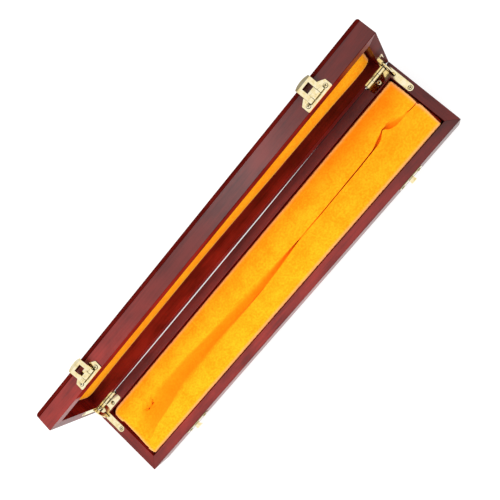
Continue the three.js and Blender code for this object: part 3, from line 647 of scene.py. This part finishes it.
# Velvet pads in the base
pads = {
    "endX": 164.3,
    "wallY": 23.85,
    "bottom": 4.2,
    "top": 26.8,
    "crown": 0.55,
    "stationMm": 0.6,
    "topSteps": 34,
    "ripple": 0.1,
    "ragged": 0.26,
    # radius and share of the rounding at the left and at the right corner
    "backCorners": ((6.5, 0.95), (2.6, 0.9)),
    "frontCorners": ((2.8, 0.9), (2.4, 0.8)),
    "gapShadePress": 3,  # pressed value that gives the painted shade of the gaps
    # painted shade for the fall-off of light at the right, over all at the right, the lid's painted shadow
    # towards it, and flatter nap in
    # a strip along the front pad: where that begins, over what length it grows and the pressed value
    "rightX": 20, "rightOver": 120,
    "allX": 30, "allOver": 90, "falloffPress": 0.15,
    "backY": 8, "backOver": 14, "backPress": 0.07, "backRightPress": 0.46,
    "stripY": -6, "stripHalf": 4.5, "stripPress": 0.16,
    "patchMm": 14,
}
# x, place of the meeting line, width, depth and crispness of the back pad's fall, and the same for the
# front pad; the halves part in two eyes near the right end and sink to a trough on the left
seam = [
    (165, -1.1, 0.5, 0.8, 1, 0.5, 0.8, 1), (159.5, -1.2, 0.3, 1.5, 1, 0.3, 1.5, 1),
    (156, -0.85, 0.3, 1.4, 1, 0.3, 1.4, 1), (153.5, -0.4, 0.9, 0.5, 0.7, 0.9, 0.5, 0.7),
    (151, -0.25, 1.2, 0.4, 0.6, 0.9, 0.4, 0.7), (149, -0.35, 1.9, 0.8, 0.6, 0.7, 0.7, 1),
    (146.7, -0.4, 3.2, 1.9, 0.8, 0.5, 1.6, 1), (144, -0.35, 4.6, 3, 0.9, 0.5, 2.6, 1),
    (141.5, 0, 5, 3.6, 1, 0.5, 3.2, 1), (139, 0.9, 4.4, 4, 1, 0.5, 3.6, 1),
    (137, 2.3, 2.9, 4.2, 1, 0.5, 3.8, 1), (135.6, 4, 1.1, 3, 1, 0.5, 2.8, 1),
    (134.2, 4.75, 0.5, 1.5, 1, 0.5, 1.5, 1), (132.7, 4.2, 0.5, 1.6, 1, 0.5, 1.6, 1),
    (131, 3, 1.2, 2.2, 1, 0.5, 2.2, 1), (129, 1.8, 1.9, 2.9, 1, 0.5, 2.6, 1),
    (126.7, 0.95, 2.2, 3.2, 1, 0.5, 2.8, 1), (124, 0.5, 1.8, 3.2, 1, 0.5, 2.8, 1),
    (121, 0.3, 1, 2.8, 1, 0.45, 2.6, 1), (118.5, 0.2, 0.66, 2.2, 1, 0.5, 2, 1),
    (112.5, 0, 0.56, 2, 1, 0.44, 1.9, 1), (105, -0.25, 0.54, 2.1, 1, 0.44, 2, 1),
    (96, -0.4, 0.54, 2.1, 1, 0.44, 2, 1), (87.5, -0.5, 0.5, 1.9, 1, 0.42, 1.8, 1),
    (80, -0.6, 0.42, 1.3, 1, 0.38, 1.3, 1), (73, -0.7, 0.44, 1.6, 1, 0.38, 1.5, 1),
    (60.8, -0.9, 0.42, 1.2, 1, 0.36, 1.2, 1), (50.8, -0.8, 0.46, 0.7, 1, 0.46, 0.7, 1),
    (40, -0.9, 0.5, 0.45, 1, 0.5, 0.45, 1), (37, -0.95, 0.5, 1.2, 1, 0.4, 1.2, 1),
    (35, -1.1, 0.75, 2.4, 1, 0.35, 2.2, 1), (31, -1.4, 1.2, 2.8, 0.8, 0.35, 2.6, 1),
    (27.5, -1.75, 1.8, 3, 0.6, 0.35, 2.7, 1), (20, -2.4, 3, 3, 0.45, 0.35, 2.8, 1),
    (10.8, -3.1, 4.7, 3, 0.35, 0.4, 2.7, 1), (0, -3.6, 6.4, 3, 0.25, 0.45, 2.6, 1),
    (-10, -3.9, 7.5, 3, 0.2, 0.7, 2.6, 0.9), (-20, -3.6, 7.7, 3, 0.2, 1.2, 2.8, 0.7),
    (-35, -2.2, 6.8, 3, 0.2, 2.6, 3, 0.4), (-50, -0.6, 5.6, 3, 0.2, 4.4, 3, 0.3),
    (-60, 0.5, 5, 3.1, 0.15, 5.7, 3.1, 0.3), (-75, 1.5, 5.2, 3.1, 0.1, 7.2, 3.1, 0.3),
    (-100, 2.6, 6.2, 3, 0, 9.2, 3, 0.35), (-120, 2.6, 7.2, 2.8, 0, 10.8, 2.8, 0.5),
    (-135, 2, 8, 2.5, 0, 11.5, 2.5, 0.6), (-145, 0.8, 8.6, 2, 0, 11.4, 2, 0.6),
    (-152, -1.5, 10, 1.5, 0, 11.1, 1.5, 0.6), (-158, -4, 12, 0.9, 0, 10.4, 0.9, 0.6),
    (-165, -6, 13, 0.5, 0, 10.5, 0.5, 0.6),
]
# How far the nap is pressed, its deeper colour partly pressed nap and partly painted shade on the slopes of the
# fall, as x, its strength, how sharp its front edge is and where its back edge starts
nap = [
    (165, 0.7, 1, 0.6), (150, 0.5, 1, 0.5), (146, 0.5, 1, 0.5), (141, 0.66, 1, 0.6),
    (137, 0.9, 1, 0.6), (130, 1, 1, 0.6), (118, 1, 1, 0.6), (40, 0.7, 1, 0.6),
    (36, 1, 1, 0.6), (25, 0.85, 1, 0.6), (10, 0.76, 1, 0.55), (-10, 0.72, 0.8, 0.5),
    (-30, 0.72, 0.3, 0.5), (-75, 0.74, 0.2, 0.5), (-107, 0.72, 0.3, 0.35), (-120, 0.7, 0.75, 0.2),
    (-135, 0.66, 1, 0.1), (-150, 0.46, 1, 0.1), (-160, 0.14, 1, 0.1), (-165, 0, 1, 0.1),
]
# Outline of the velvet at its ends, as y and how far the edge lies inside the end
leftEdge = [(-30, 0.2), (-22, 0.1), (-17.8, -0.3), (-16.9, 0.2), (-13.5, -0.3), (-4, 0.1), (7, 0.9),
            (10.6, 1.3), (12.4, 0.2), (15.5, -0.3), (30, -0.3)]
rightEdge = [(-30, 2.3), (-22.5, 1.4), (-16, 0.7), (-6, -0.2), (-3.2, 0), (-2.4, 0.8), (-1.4, 0.6), (1, 0.2),
             (10, -0.1), (30, 0.1)]


# Share of the depth left at t, from 0 at the meeting line to 1 at the shoulder
def fallAt(t, crisp):
    t = clamp(t)
    soft = 1 - smoothStep(t)
    if crisp <= 0:
        return soft
    creased = 1 - t ** 1.7
    lipped = math.sqrt(1 - t * t)
    if crisp < 0.5:
        return soft + (creased - soft) * crisp * 2
    return creased + (lipped - creased) * (crisp - 0.5) * 2


# How much a rounding of that radius takes off near an end, from 1 at the end to 0
def roundOff(fromEnd, radius):
    return 1 - math.sqrt(1 - clamp((radius - fromEnd) / radius) ** 2)


def smallNoise(x, y, size, seed):
    return noise.noise(Vector((x / size, y / size, seed)))


# Creases pressed in the nap close to the left end, as the middle, half length, slope, depth and width
creases = [(-138.8, 2.8, 6.4, 0.05, 1.3, 0.2), (-134.8, 4.4, 2.8, 0.75, 1.1, 0.2),
           (-143, 4.4, 3, -0.4, 0.5, 0.28), (-133, 7.2, 3.5, 0.4, 0.26, 0.4),
           (-138.6, 6, 2.4, 1.3, 0.4, 0.3), (-137, 0.8, 3, -0.2, 0.16, 0.5)]


def creaseDepth(x, y):
    total = 0.0
    for cx, cy, length, slope, depth, width in creases:
        if abs(x - cx) < length:
            bow = 0.03 * (x - cx) ** 2
            away = (y - cy - slope * (x - cx) - bow) / width
            total += depth * math.exp(-away * away) * smoothStep((length - abs(x - cx)) / length * 1.6)
    return total


# How far the nap is pressed at a share t of the fall, with painted shade towards the lid and the right end and
# flatter nap in a strip along the front pad
def pressAt(x, y, t, isBack):
    strength, sharp, start = rowAt(nap, x)
    edge = start if isBack else 0.5 + 0.45 * sharp
    inside = 1 - smoothStep((t - edge) / (1.02 - edge))
    right = smoothStep((x - pads["rightX"]) / pads["rightOver"])
    falloffShade = pads["falloffPress"] * smoothStep((x - pads["allX"]) / pads["allOver"])
    shade = smoothStep((y - pads["backY"] + 4 * right) / pads["backOver"])
    shade *= pads["backPress"] + pads["backRightPress"] * right
    shade += pads["stripPress"] * math.exp(-((y - pads["stripY"]) / pads["stripHalf"]) ** 2)
    patch = 0.5 + smallNoise(x, y, pads["patchMm"], 5.5)
    return max(strength * inside * (0.94 + 0.12 * patch), falloffShade + (1 - falloffShade) * shade * (0.7 + 0.5 * patch))


# How far the top is down at a distance from the pad's end, and its share of painted sheen
def endRollAt(fromEnd):
    return rowAt(endProfile, fromEnd) if fromEnd < endProfile[-1][0] else (0, 0)


# Walls take the painted shade of the gaps as they go down
def gapShadeDown(down):
    return pads["gapShadePress"] * smoothStep((down - 0.4) / 0.7)


def padTopAt(x, y, share, fromEnd):
    swell = pads["crown"] * math.sin(math.pi * clamp(share))
    ripple = pads["ripple"] * (smallNoise(x, y, 9, 3.1) + 0.5 * smallNoise(x, y, 3.2, 8.7))
    return pads["top"] + swell - endRollAt(fromEnd)[0] + ripple


# Profiles of the rolled edges, as inwards, down and the share of painted sheen
backShoulder = [(0, 2.6, 0), (0.12, 2, 0), (0.5, 1.6, 0), (0.85, 1.3, 0), (1.05, 0.95, 0.35), (1.16, 0.62, 0.8),
                (1.32, 0.36, 1), (1.6, 0.14, 0.9), (1.95, 0.05, 0.6), (2.4, 0, 0.3)]
frontShoulder = [(0, 2.6, 0), (0.04, 1.9, 0), (0.12, 1.3, 0.1), (0.24, 0.85, 0.5), (0.42, 0.5, 0.9),
                 (0.7, 0.22, 1), (1.1, 0.08, 0.8), (1.6, 0.02, 0.45)]
endProfile = [(0, 2.6, 0), (0.1, 2, 0), (0.35, 1.6, 0), (0.55, 1.2, 0.2), (0.7, 0.8, 0.7), (0.88, 0.5, 1),
              (1.15, 0.25, 1), (1.5, 0.1, 0.8), (2, 0.03, 0.45), (2.8, 0, 0.15), (3.6, 0, 0)]
fallShares = [0, 0.04, 0.1, 0.17, 0.25, 0.33, 0.42, 0.51, 0.6, 0.69, 0.77, 0.84, 0.89, 0.93, 0.96, 0.98,
              0.992, 1]


# Closed ring of one pad at x, from the foot of the seam round by the wall and back to the seam
def padRing(x, isBack):
    away = 1 if isBack else -1
    row = rowAt(seam, x)
    meet = row[0]
    width, depth, crisp = row[1:4] if isBack else row[4:7]
    fromEnds = (x + pads["endX"], pads["endX"] - x)
    fromEnd = min(fromEnds)
    corners = pads["backCorners" if isBack else "frontCorners"]
    inset = sum(radius * roundOff(gap, radius) * share for gap, (radius, share) in zip(fromEnds, corners))
    rag = pads["ragged"] * (smallNoise(x, 0, 2.3, 1.7 if isBack else 5.3) + 0.8 * smallNoise(x, 0, 0.9, 7.7))
    wall = pads["wallY"] - inset
    endDrop = padTopAt(x, away * 20, 0, fromEnd)
    bottom, gapShaded = pads["bottom"], pads["gapShadePress"]
    points = [(meet + away * 1.2, bottom, gapShaded, 0), (away * (wall - 1.2), bottom, gapShaded, 0),
              (away * wall, bottom + 1.2, gapShaded, 0), (away * (wall - 0.4), 14.0, gapShaded, 0)]
    for inward, down, edge in (backShoulder if isBack else frontShoulder):
        ragged = max(0.0, rag) if down < 2.4 else 0
        points.append((away * (wall - inward - ragged), endDrop - down, gapShadeDown(down), edge))
    start = abs(points[-1][0])
    shoulder = meet + away * width
    for step in range(1, pads["topSteps"] + 1):
        share = step / pads["topSteps"]
        y = away * start + (shoulder - away * start) * share ** 0.92
        crease = creaseDepth(x, y)
        z = padTopAt(x, y, share * 0.93, fromEnd) - crease
        # painted sheen along the top next to the wall
        near = max(0.0, 1 - abs(abs(y) - start) / 1.2)
        t = abs(y - meet) / width
        # the creases darken the colour with painted shade, here and in the fall below
        points.append((y, z, pressAt(x, y, t, isBack) + crease, 0.3 * near))
    for share in reversed(fallShares[:-1]):
        y = meet + away * width * share
        down = depth * fallAt(share, crisp)
        crease = creaseDepth(x, y)
        z = padTopAt(x, y, 0.93 + 0.07 * (1 - share), fromEnd) - down - crease
        # painted shade in deep narrow falls
        gapShade = 1.4 * smoothStep((down / max(width, 0.1) - 1.4) / 2.0) * smoothStep((down - 0.3) / 0.8)
        points.append((y, z, min(1.0, pressAt(x, y, share, isBack)) + 2 * crease + gapShade, 0))
    low = points[-1][1]
    # the foot of the meeting line gets painted shade
    points += [(meet, low - 0.4, 2.2, 0), (meet + away * 0.3, (low + bottom) / 2, gapShaded, 0),
               (meet, bottom + 1.2, gapShaded, 0)]
    # the painted sheen of the fringe runs along the two ends as well, and that of the long sides doesn't go
    # down them
    endDown, endSheen = endRollAt(fromEnd)
    endShade = gapShadeDown(endDown)
    upright = 1 - smoothStep((endDown - 0.5) / 0.6)
    moved = smoothStep(fromEnd / 0.5) * math.exp(-max(0.0, fromEnd - 0.6) / 2.4)
    ring = []
    for y, z, press, edge in points:
        isTop = z > pads["top"] - 6
        edge = max(edge * upright, endSheen) if isTop else edge * upright
        press = max(press, endShade) if isTop else press
        shift = rowAt(leftEdge if x < 0 else rightEdge, y)[0] * moved * (1 if x < 0 else -1)
        raggedEnd = pads["ragged"] * smallNoise(y, 0, 1.3, 2.2) * moved if isTop else 0
        ring.append((x + shift + raggedEnd, y, z, press, edge))
    if not isBack:
        ring.reverse()
    return ring


# Skin over a row of closed rings, shut at both ends, with the two values kept for the material
def loftRings(name, rings, material):
    count = len(rings[0])
    points = [(p[0] * mm, p[1] * mm, p[2] * mm) for ring in rings for p in ring]
    faces = []
    for row in range(len(rings) - 1):
        for column in range(count):
            nextColumn = (column + 1) % count
            a, b = row * count + column, row * count + nextColumn
            faces.append((a, a + count, b + count, b))
    for row in (0, len(rings) - 1):
        hub = len(points)
        points.append(tuple(sum(p[axis] for p in rings[row]) / count * mm for axis in range(3)))
        for column in range(count):
            a, b = row * count + column, row * count + (column + 1) % count
            faces.append((hub, a, b) if row == 0 else (hub, b, a))
    mesh = newMesh(name, points, faces)
    for index, label in ((3, "pressed"), (4, "fringe")):
        layer = mesh.attributes.new(label, "FLOAT", "POINT")
        layer.data.foreach_set("value", [p[index] for ring in rings for p in ring] + [0.0, 0.0])
    faceOutwards(mesh)
    mesh.shade_smooth()
    mesh.set_sharp_from_angle(angle=math.radians(62))
    return linkMesh(name, mesh, material)


# Places of the cross-sections: the given ones near both ends, and even ones between them
def stations(end, near, spacing):
    count = round(2 * (end - near[-1]) / spacing)
    span = 2 * (end - near[-1]) / count
    middle = [-end + near[-1] + span * step for step in range(1, count)]
    return [-end + inset for inset in near] + middle + [end - inset for inset in reversed(near)]


def dressSoft(obj, body, nodeName):
    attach(obj, body)
    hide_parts(nodeName)


nearEnd = [0, 0.1, 0.22, 0.35, 0.45, 0.55, 0.62, 0.7, 0.79, 0.88, 1, 1.15, 1.32, 1.5, 1.75, 2, 2.4, 2.8, 3.2]
padPlaces = stations(pads["endX"], nearEnd, pads["stationMm"])
for nodeName, isBack in (("cushion_back", True), ("cushion_front", False)):
    pad = loftRings(nodeName + "_velvet", [padRing(x, isBack) for x in padPlaces], velvetPile)
    dressSoft(pad, "base", nodeName)
print("base velvet made")

# Velvet panel in the lid, made in its shut place and then turned open
lining = {
    "halfX": 163.6,
    "halfY": 23.35,
    "low": 38.6,
    "high": 40.1,
    "corner": 6,
    "endLift": 0.9,
    "endRound": 1.6,
    "crown": 0.35,
    "steps": 26,
    "stationMm": 0.955,
    # how far its edge by the hinges stands off the card, as x and mm
    "bulge": [(-164, 0.6), (-120, 0), (-20, 0), (60, 1.4), (120, 2.4), (152, 3.3), (164, 2.6)],
}
# Profile of its rolled edge, as inwards, up and the share of painted sheen
edgeRows = [(0, 1, 0.2), (0.1, 0.6, 0.7), (0.3, 0.38, 1), (0.6, 0.2, 0.9), (1.1, 0.08, 0.6), (1.8, 0, 0.3)]


def liningRing(x):
    fromEnd = lining["halfX"] - abs(x)
    half = lining["halfY"] - lining["corner"] * roundOff(fromEnd, lining["corner"])
    endLift = lining["endLift"] * roundOff(fromEnd, lining["endRound"])
    rag = pads["ragged"] * smallNoise(x, 0, 1.4, 4.4)
    front, back = [
        [(away * (half - inward - max(0.0, -away * rag)), lining["low"] + up + endLift * (up < 0.9), edge)
         for inward, up, edge in edgeRows] for away in (-1, 1)]
    points = [(-half + 0.3, lining["high"], 0)] + front
    first = -half + edgeRows[-1][0]
    steps = lining["steps"]
    for step in range(1, steps):
        y = first * (1 - 2 * step / steps)
        swell = lining["crown"] * (1 - (2 * step / steps - 1) ** 2) * min(1.0, fromEnd / 12)
        ripple = 0.08 * smallNoise(x, y, 8, 6.1)
        points.append((y, lining["low"] - swell + ripple + endLift, 0))
    points += back[::-1] + [(half - 0.3, lining["high"], 0)]
    bulge = rowAt(lining["bulge"], x)[0]
    # painted sheen along the panel's ends
    endSheen = math.exp(-((fromEnd - 0.8) / 0.7) ** 2)
    ring = []
    for y, z, edge in points:
        lift = bulge * smoothStep((y + 4) / 22) if z < lining["high"] - 0.01 else 0
        ring.append((*turnedOpen((x, y, z - lift)), 0.0, max(edge, endSheen)))
    return ring


nearEnd = [0, 0.05, 0.2, 0.45, 0.8, 1.2, 1.8, 2.5, 3.3, 4.2, 5.1, 6]
panelPlaces = stations(lining["halfX"], nearEnd, lining["stationMm"])
panel = loftRings("lid_lining_velvet", [liningRing(x) for x in panelPlaces], velvetPile)
dressSoft(panel, "lid", "lid_lining")
print("lid velvet made")

# Screws, one tree for all of them
screws = {
    "seed": 7,
    "crossLength": 2.2,
    "crossWidth": 0.6,
    "crossDepth": 0.7,
    "crossTaper": 0.7,
    "sunkRing": 1.184,  # radius of the painted shadow line where a head meets its plate
    "domeRing": 1.376,
    "hinge": ((157.5, 27.5), (168, 9)),  # x and y of those in a leaf's leg and its arm
    "latchX": 121.3,
    "spacing": 16.2,
    "latchFaceY": -32.65,
    # with the lid shut: height of the leaves' faces, the way they face and height of the latches' screws
    "levels": {"base": (27.85, 1, 23.1), "lid": (28.45, -1, 31.5)},
}
# Half outlines of the two heads with their shanks, as radius and height
sunkProfile = [(0, 0.1), (0.55, 0.09), (0.95, 0.05), (1.24, 0), (1.45, -0.08), (1.56, -0.16), (1.5, -0.28),
               (0.7, -0.86), (0.7, -6.5), (0, -7)]
domeProfile = [(0, 0.8), (0.45, 0.77), (0.85, 0.69), (1.2, 0.52), (1.4, 0.36), (1.58, 0.14), (1.68, 0),
               (0.7, 0), (0.7, -5), (0, -5.5)]


def latheMesh(name, profile, segments=40):
    points, faces, starts = [], [], []
    for radius, height in profile:
        starts.append(len(points))
        for step in range(segments if radius > 0 else 1):
            angle = 2 * math.pi * step / segments
            points.append((radius * math.cos(angle) * mm, radius * math.sin(angle) * mm, height * mm))
    for row in range(len(profile) - 1):
        a, b = starts[row], starts[row + 1]
        for step in range(segments):
            following = (step + 1) % segments
            if profile[row][0] == 0:
                faces.append((a, b + step, b + following))
            elif profile[row + 1][0] == 0:
                faces.append((b, a + following, a + step))
            else:
                faces.append((a + step, b + step, b + following, a + following))
    return faceOutwards(newMesh(name, points, faces))


def crossMesh(name, top):
    long, half = screws["crossLength"] / 2, screws["crossWidth"] / 2
    outline = [(long, -half), (long, half), (half, half)]
    for _ in range(3):
        outline += [(-y, x) for x, y in outline[-3:]]
    points = []
    for height, share in ((top + 0.5, 1), (top - screws["crossDepth"], screws["crossTaper"])):
        points += [(x * share * mm, y * share * mm, height * mm) for x, y in outline]
    count = len(outline)
    faces = [tuple(range(count)), tuple(reversed(range(count, 2 * count)))]
    faces += [(i, i + count, (i + 1) % count + count, (i + 1) % count) for i in range(count)]
    return faceOutwards(newMesh(name, points, faces))


# Marks faces for the material, from a rule that gives each face its share of painted shade
def markPaintedShade(mesh, share):
    layer = mesh.attributes.new("tarnish", "FLOAT", "FACE")
    layer.data.foreach_set("value", [share(face) for face in mesh.polygons])


def screwHead(name, profile, ringFrom):
    head = linkMesh(name, latheMesh(name, profile), brassPlate)
    cutter = linkMesh(name + "Cross", crossMesh(name + "Cross", profile[0][1]), brassPlate)
    applyModifier(head, "BOOLEAN", operation="DIFFERENCE", solver="EXACT", object=cutter)
    bpy.data.objects.remove(cutter)
    smoothFlat(head, 40)

    # painted shade in the recess and along the line where the head meets the plate
    def share(face):
        radius = face.center.xy.length / mm
        height = face.center.z / mm
        if radius > ringFrom:
            return 0.95
        skin = next((high for far, high in profile[::-1] if far >= radius and high > -0.2), profile[0][1])
        return 0.95 if height < skin - 0.12 else 0.0

    markPaintedShade(head.data, share)
    return head


# Points carry the way each screw faces and which head it has
def screwPoints(name, places):
    mesh = newMesh(name, [tuple(c * mm for c in place) for place, _, _ in places], [])
    mesh.attributes.new("facing", "FLOAT_VECTOR", "POINT").data.foreach_set(
        "vector", [c for _, facing, _ in places for c in facing])
    mesh.attributes.new("kind", "INT", "POINT").data.foreach_set("value", [kind for _, _, kind in places])
    obj = bpy.data.objects.new(name, mesh)
    scene.collection.objects.link(obj)
    return obj


def screwTree():
    tree = bpy.data.node_groups.new("screwsOnPoints", "GeometryNodeTree")
    for name, kind in (("Geometry", "Geometry"), ("Sunk Head", "Object"), ("Dome Head", "Object"),
                       ("Metal", "Material"), ("Seed", "Int")):
        tree.interface.new_socket(name, in_out="INPUT", socket_type="NodeSocket" + kind)
    tree.interface.new_socket("Geometry", in_out="OUTPUT", socket_type="NodeSocketGeometry")
    given = addNode(tree, "NodeGroupInput").outputs
    sunk = addNode(tree, "GeometryNodeObjectInfo", {"Object": given["Sunk Head"], "As Instance": True})
    dome = addNode(tree, "GeometryNodeObjectInfo", {"Object": given["Dome Head"], "As Instance": True})
    heads = addNode(tree, "GeometryNodeGeometryToInstance")
    tree.links.new(dome.outputs["Geometry"], heads.inputs[0])
    tree.links.new(sunk.outputs["Geometry"], heads.inputs[0])
    facing = addNode(tree, "GeometryNodeInputNamedAttribute", {"Name": "facing"}, data_type="FLOAT_VECTOR")
    kind = addNode(tree, "GeometryNodeInputNamedAttribute", {"Name": "kind"}, data_type="INT")
    turn = addNode(tree, "FunctionNodeAlignRotationToVector", {"Vector": facing.outputs[0]}, axis="Z")
    # its fourth input is the greatest number, and its second output the number
    spin = addNode(tree, "FunctionNodeRandomValue", {3: math.pi, "Seed": given["Seed"]}, data_type="FLOAT")
    own = addNode(tree, "FunctionNodeAxisAngleToRotation", {"Axis": (0, 0, 1), "Angle": spin.outputs[1]})
    both = addNode(tree, "FunctionNodeRotateRotation", {0: turn.outputs[0], 1: own.outputs[0]},
                   rotation_space="LOCAL")
    put = addNode(tree, "GeometryNodeInstanceOnPoints", {
        "Points": given["Geometry"], "Instance": heads.outputs[0], "Pick Instance": True,
        "Instance Index": kind.outputs[0], "Rotation": both.outputs[0]})
    real = addNode(tree, "GeometryNodeRealizeInstances", {"Geometry": put.outputs[0]})
    coat = addNode(tree, "GeometryNodeSetMaterial", {"Geometry": real.outputs[0], "Material": given["Metal"]})
    addNode(tree, "NodeGroupOutput", {"Geometry": coat.outputs[0]})
    return tree


def growOnPoints(obj, tree, values):
    modifier = obj.modifiers.new("screws", "NODES")
    modifier.node_group = tree
    for item in tree.interface.items_tree:
        if item.in_out == "INPUT" and item.name in values:
            modifier[item.identifier] = values[item.name]
    bakeModifier(obj, modifier)


sunkHead = screwHead("sunkHead", sunkProfile, screws["sunkRing"])
domeHead = screwHead("domeHead", domeProfile, screws["domeRing"])
tree = screwTree()
for body, (leafZ, facing, latchZ) in screws["levels"].items():
    places = []
    for side in (-1, 1):
        places += [((side * x, y, leafZ), (0, 0, facing), 0) for x, y in screws["hinge"]]
        for end in (-0.5, 0.5):
            x = side * screws["latchX"] + end * screws["spacing"]
            places.append(((x, screws["latchFaceY"], latchZ), (0, -1, 0), 1))
    if body == "lid":
        places = [(turnedOpen(place), turnedOpen(way, False), kind) for place, way, kind in places]
    group = screwPoints(body + "_screws_dressed", places)
    growOnPoints(group, tree, {"Sunk Head": sunkHead, "Dome Head": domeHead, "Metal": brassPlate,
                               "Seed": screws["seed"]})
    own = [name for name, obj in nodes.items() if "screw" in name and obj.parent == frame["bodies"][body]]
    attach(group, body)
    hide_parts(*own)
    print(body, "screws:", len(own), "nodes,", len(group.data.polygons), "faces")
for head in (sunkHead, domeHead):
    bpy.data.objects.remove(head)

# Brass fittings with their edges eased as a press leaves them
fittings = {
    "ease": 0.11,
    "shortest": 0.3,  # edges up to this length stay as they are
    "sharpDegrees": 50,
    "latchX": 121.3,
    "haspHalf": 6.25,  # half the hasp's width
    "haspSide": 6,  # how far from its middle its sides begin, and how far from its pin its knuckles reach
    "knuckle": 3,
    "haspPivot": (-34.25, 31.9),
    "haspLength": 0.9,  # share of the drawn length that the hasp keeps past its knuckles
    # bands of the latch plate, as least and greatest z with the lid shut and how far they move up
    "plateBands": ((0, 29.6, -0.35), (34.0, 35.6, -0.7), (35.9, 99, 0.8)),
    "plateFace": -32.8,  # y in front of which the rolled tab keeps its shape
    "tongue": (-34.8, 34.2, 1.3),  # y and z past which it is cut, and by how much
    "lipFrom": 10.3,  # distance of the hasp's lip from its pin, and how much painted shade its inside gets on each side
    "lipShade": {-1: 0.2, 1: 0.66},
    "crownDegrees": {-1: -0.5, 1: 3.2},
    "leafEase": 0.28,  # round the show face of each hinge leaf
    "showArea": 10,  # least area of a show face in square mm
}


def haspPin(side):
    return Vector(turnedOpen((side * fittings["latchX"], *fittings["haspPivot"])))


# The hasp is a little narrower and shorter than its solid
def trimHasp(fitting, side):
    pivot = haspPin(side)
    verts = fitting.data.vertices
    far = max((vert.co.yz / mm - pivot.yz for vert in verts), key=lambda away: away.length).normalized()
    for vert in verts:
        off = vert.co.x / mm - pivot.x
        if abs(off) > fittings["haspSide"]:
            vert.co.x = (pivot.x + math.copysign(fittings["haspHalf"], off)) * mm
        away = vert.co.yz / mm - pivot.yz
        past = away.dot(far) - fittings["knuckle"]
        if past > 0:
            vert.co.yz = (pivot.yz + away - far * past * (1 - fittings["haspLength"])) * mm


# The latch plate reaches down to the rim, its ears stand lower and its neck higher, and its tongue is short
def trimPlate(fitting):
    tongueY, tongueZ, cut = fittings["tongue"]
    for vert in fitting.data.vertices:
        x, y, z = turnedShut(vert.co / mm)
        rise = 0
        if y >= fittings["plateFace"]:
            rise = sum(up for low, high, up in fittings["plateBands"] if low < z < high)
        elif y < tongueY and z > tongueZ:
            rise = -cut
        vert.co = Vector(turnedOpen((x, y, z + rise))) * mm


# The inside of the hasp's lip, on faces turned up in this pose, gets painted shade
def shadeLip(fitting, side):
    def share(face):
        away = (face.center / mm - haspPin(side)).yz.length
        return fittings["lipShade"][side] if away > fittings["lipFrom"] and face.normal.z > 0.2 else 0.0

    markPaintedShade(fitting.data, share)


# An edge of a hinge leaf's flat show face: up on the base, towards the front on the open lid
def isShowEdge(edge):
    least = fittings["showArea"] * mm * mm
    return any(max(face.normal.z, -face.normal.y) > 0.95 and face.calc_area() > least
               for face in edge.link_faces)


# A pressed leaf is a little crowned, so that its flat face mirrors from further back
def crownLeaf(fitting, side):
    mesh = fitting.data
    normals = [corner.vector.copy() for corner in mesh.corner_normals]
    tilted = Vector((0, math.sin(math.radians(fittings["crownDegrees"][side])), 1)).normalized()
    for face in mesh.polygons:
        if face.normal.z > 0.99 and face.area > fittings["showArea"] * mm * mm:
            for corner in face.loop_indices:
                normals[corner] = tilted
    mesh.normals_split_custom_set(normals)


def isLongEnough(edge):
    return edge.calc_length() > fittings["shortest"] * mm


sharp = fittings["sharpDegrees"]
for nodeName in sorted(nodes):
    if "screw" in nodeName or nodeName.startswith(("base_", "lid_", "cushion")):
        continue
    setMaterial(nodes[nodeName], brassPlate)
    if "pin" in nodeName:
        continue
    fitting = pieceFromNode(nodeName, brassPlate)
    side = -1 if nodeName.startswith("left") else 1
    if nodeName.endswith("_hasp"):
        trimHasp(fitting, side)
    elif nodeName.endswith("latch_plate"):
        trimPlate(fitting)
    elif nodeName.endswith("leaf"):
        easeEdges(fitting, fittings["leafEase"], sharp, isShowEdge)
    easeEdges(fitting, fittings["ease"], sharp, isLongEnough, 2)
    smoothFlat(fitting, 30)
    if nodeName.endswith("_hasp"):
        shadeLip(fitting, side)
    elif nodeName.endswith("base_leaf"):
        crownLeaf(fitting, side)
    body = next(name for name, empty in frame["bodies"].items() if nodes[nodeName].parent == empty)
    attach(fitting, body)
    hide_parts(nodeName)
setMaterial(nodes["lid_lining_card"], greyBoard)
print("fittings dressed")
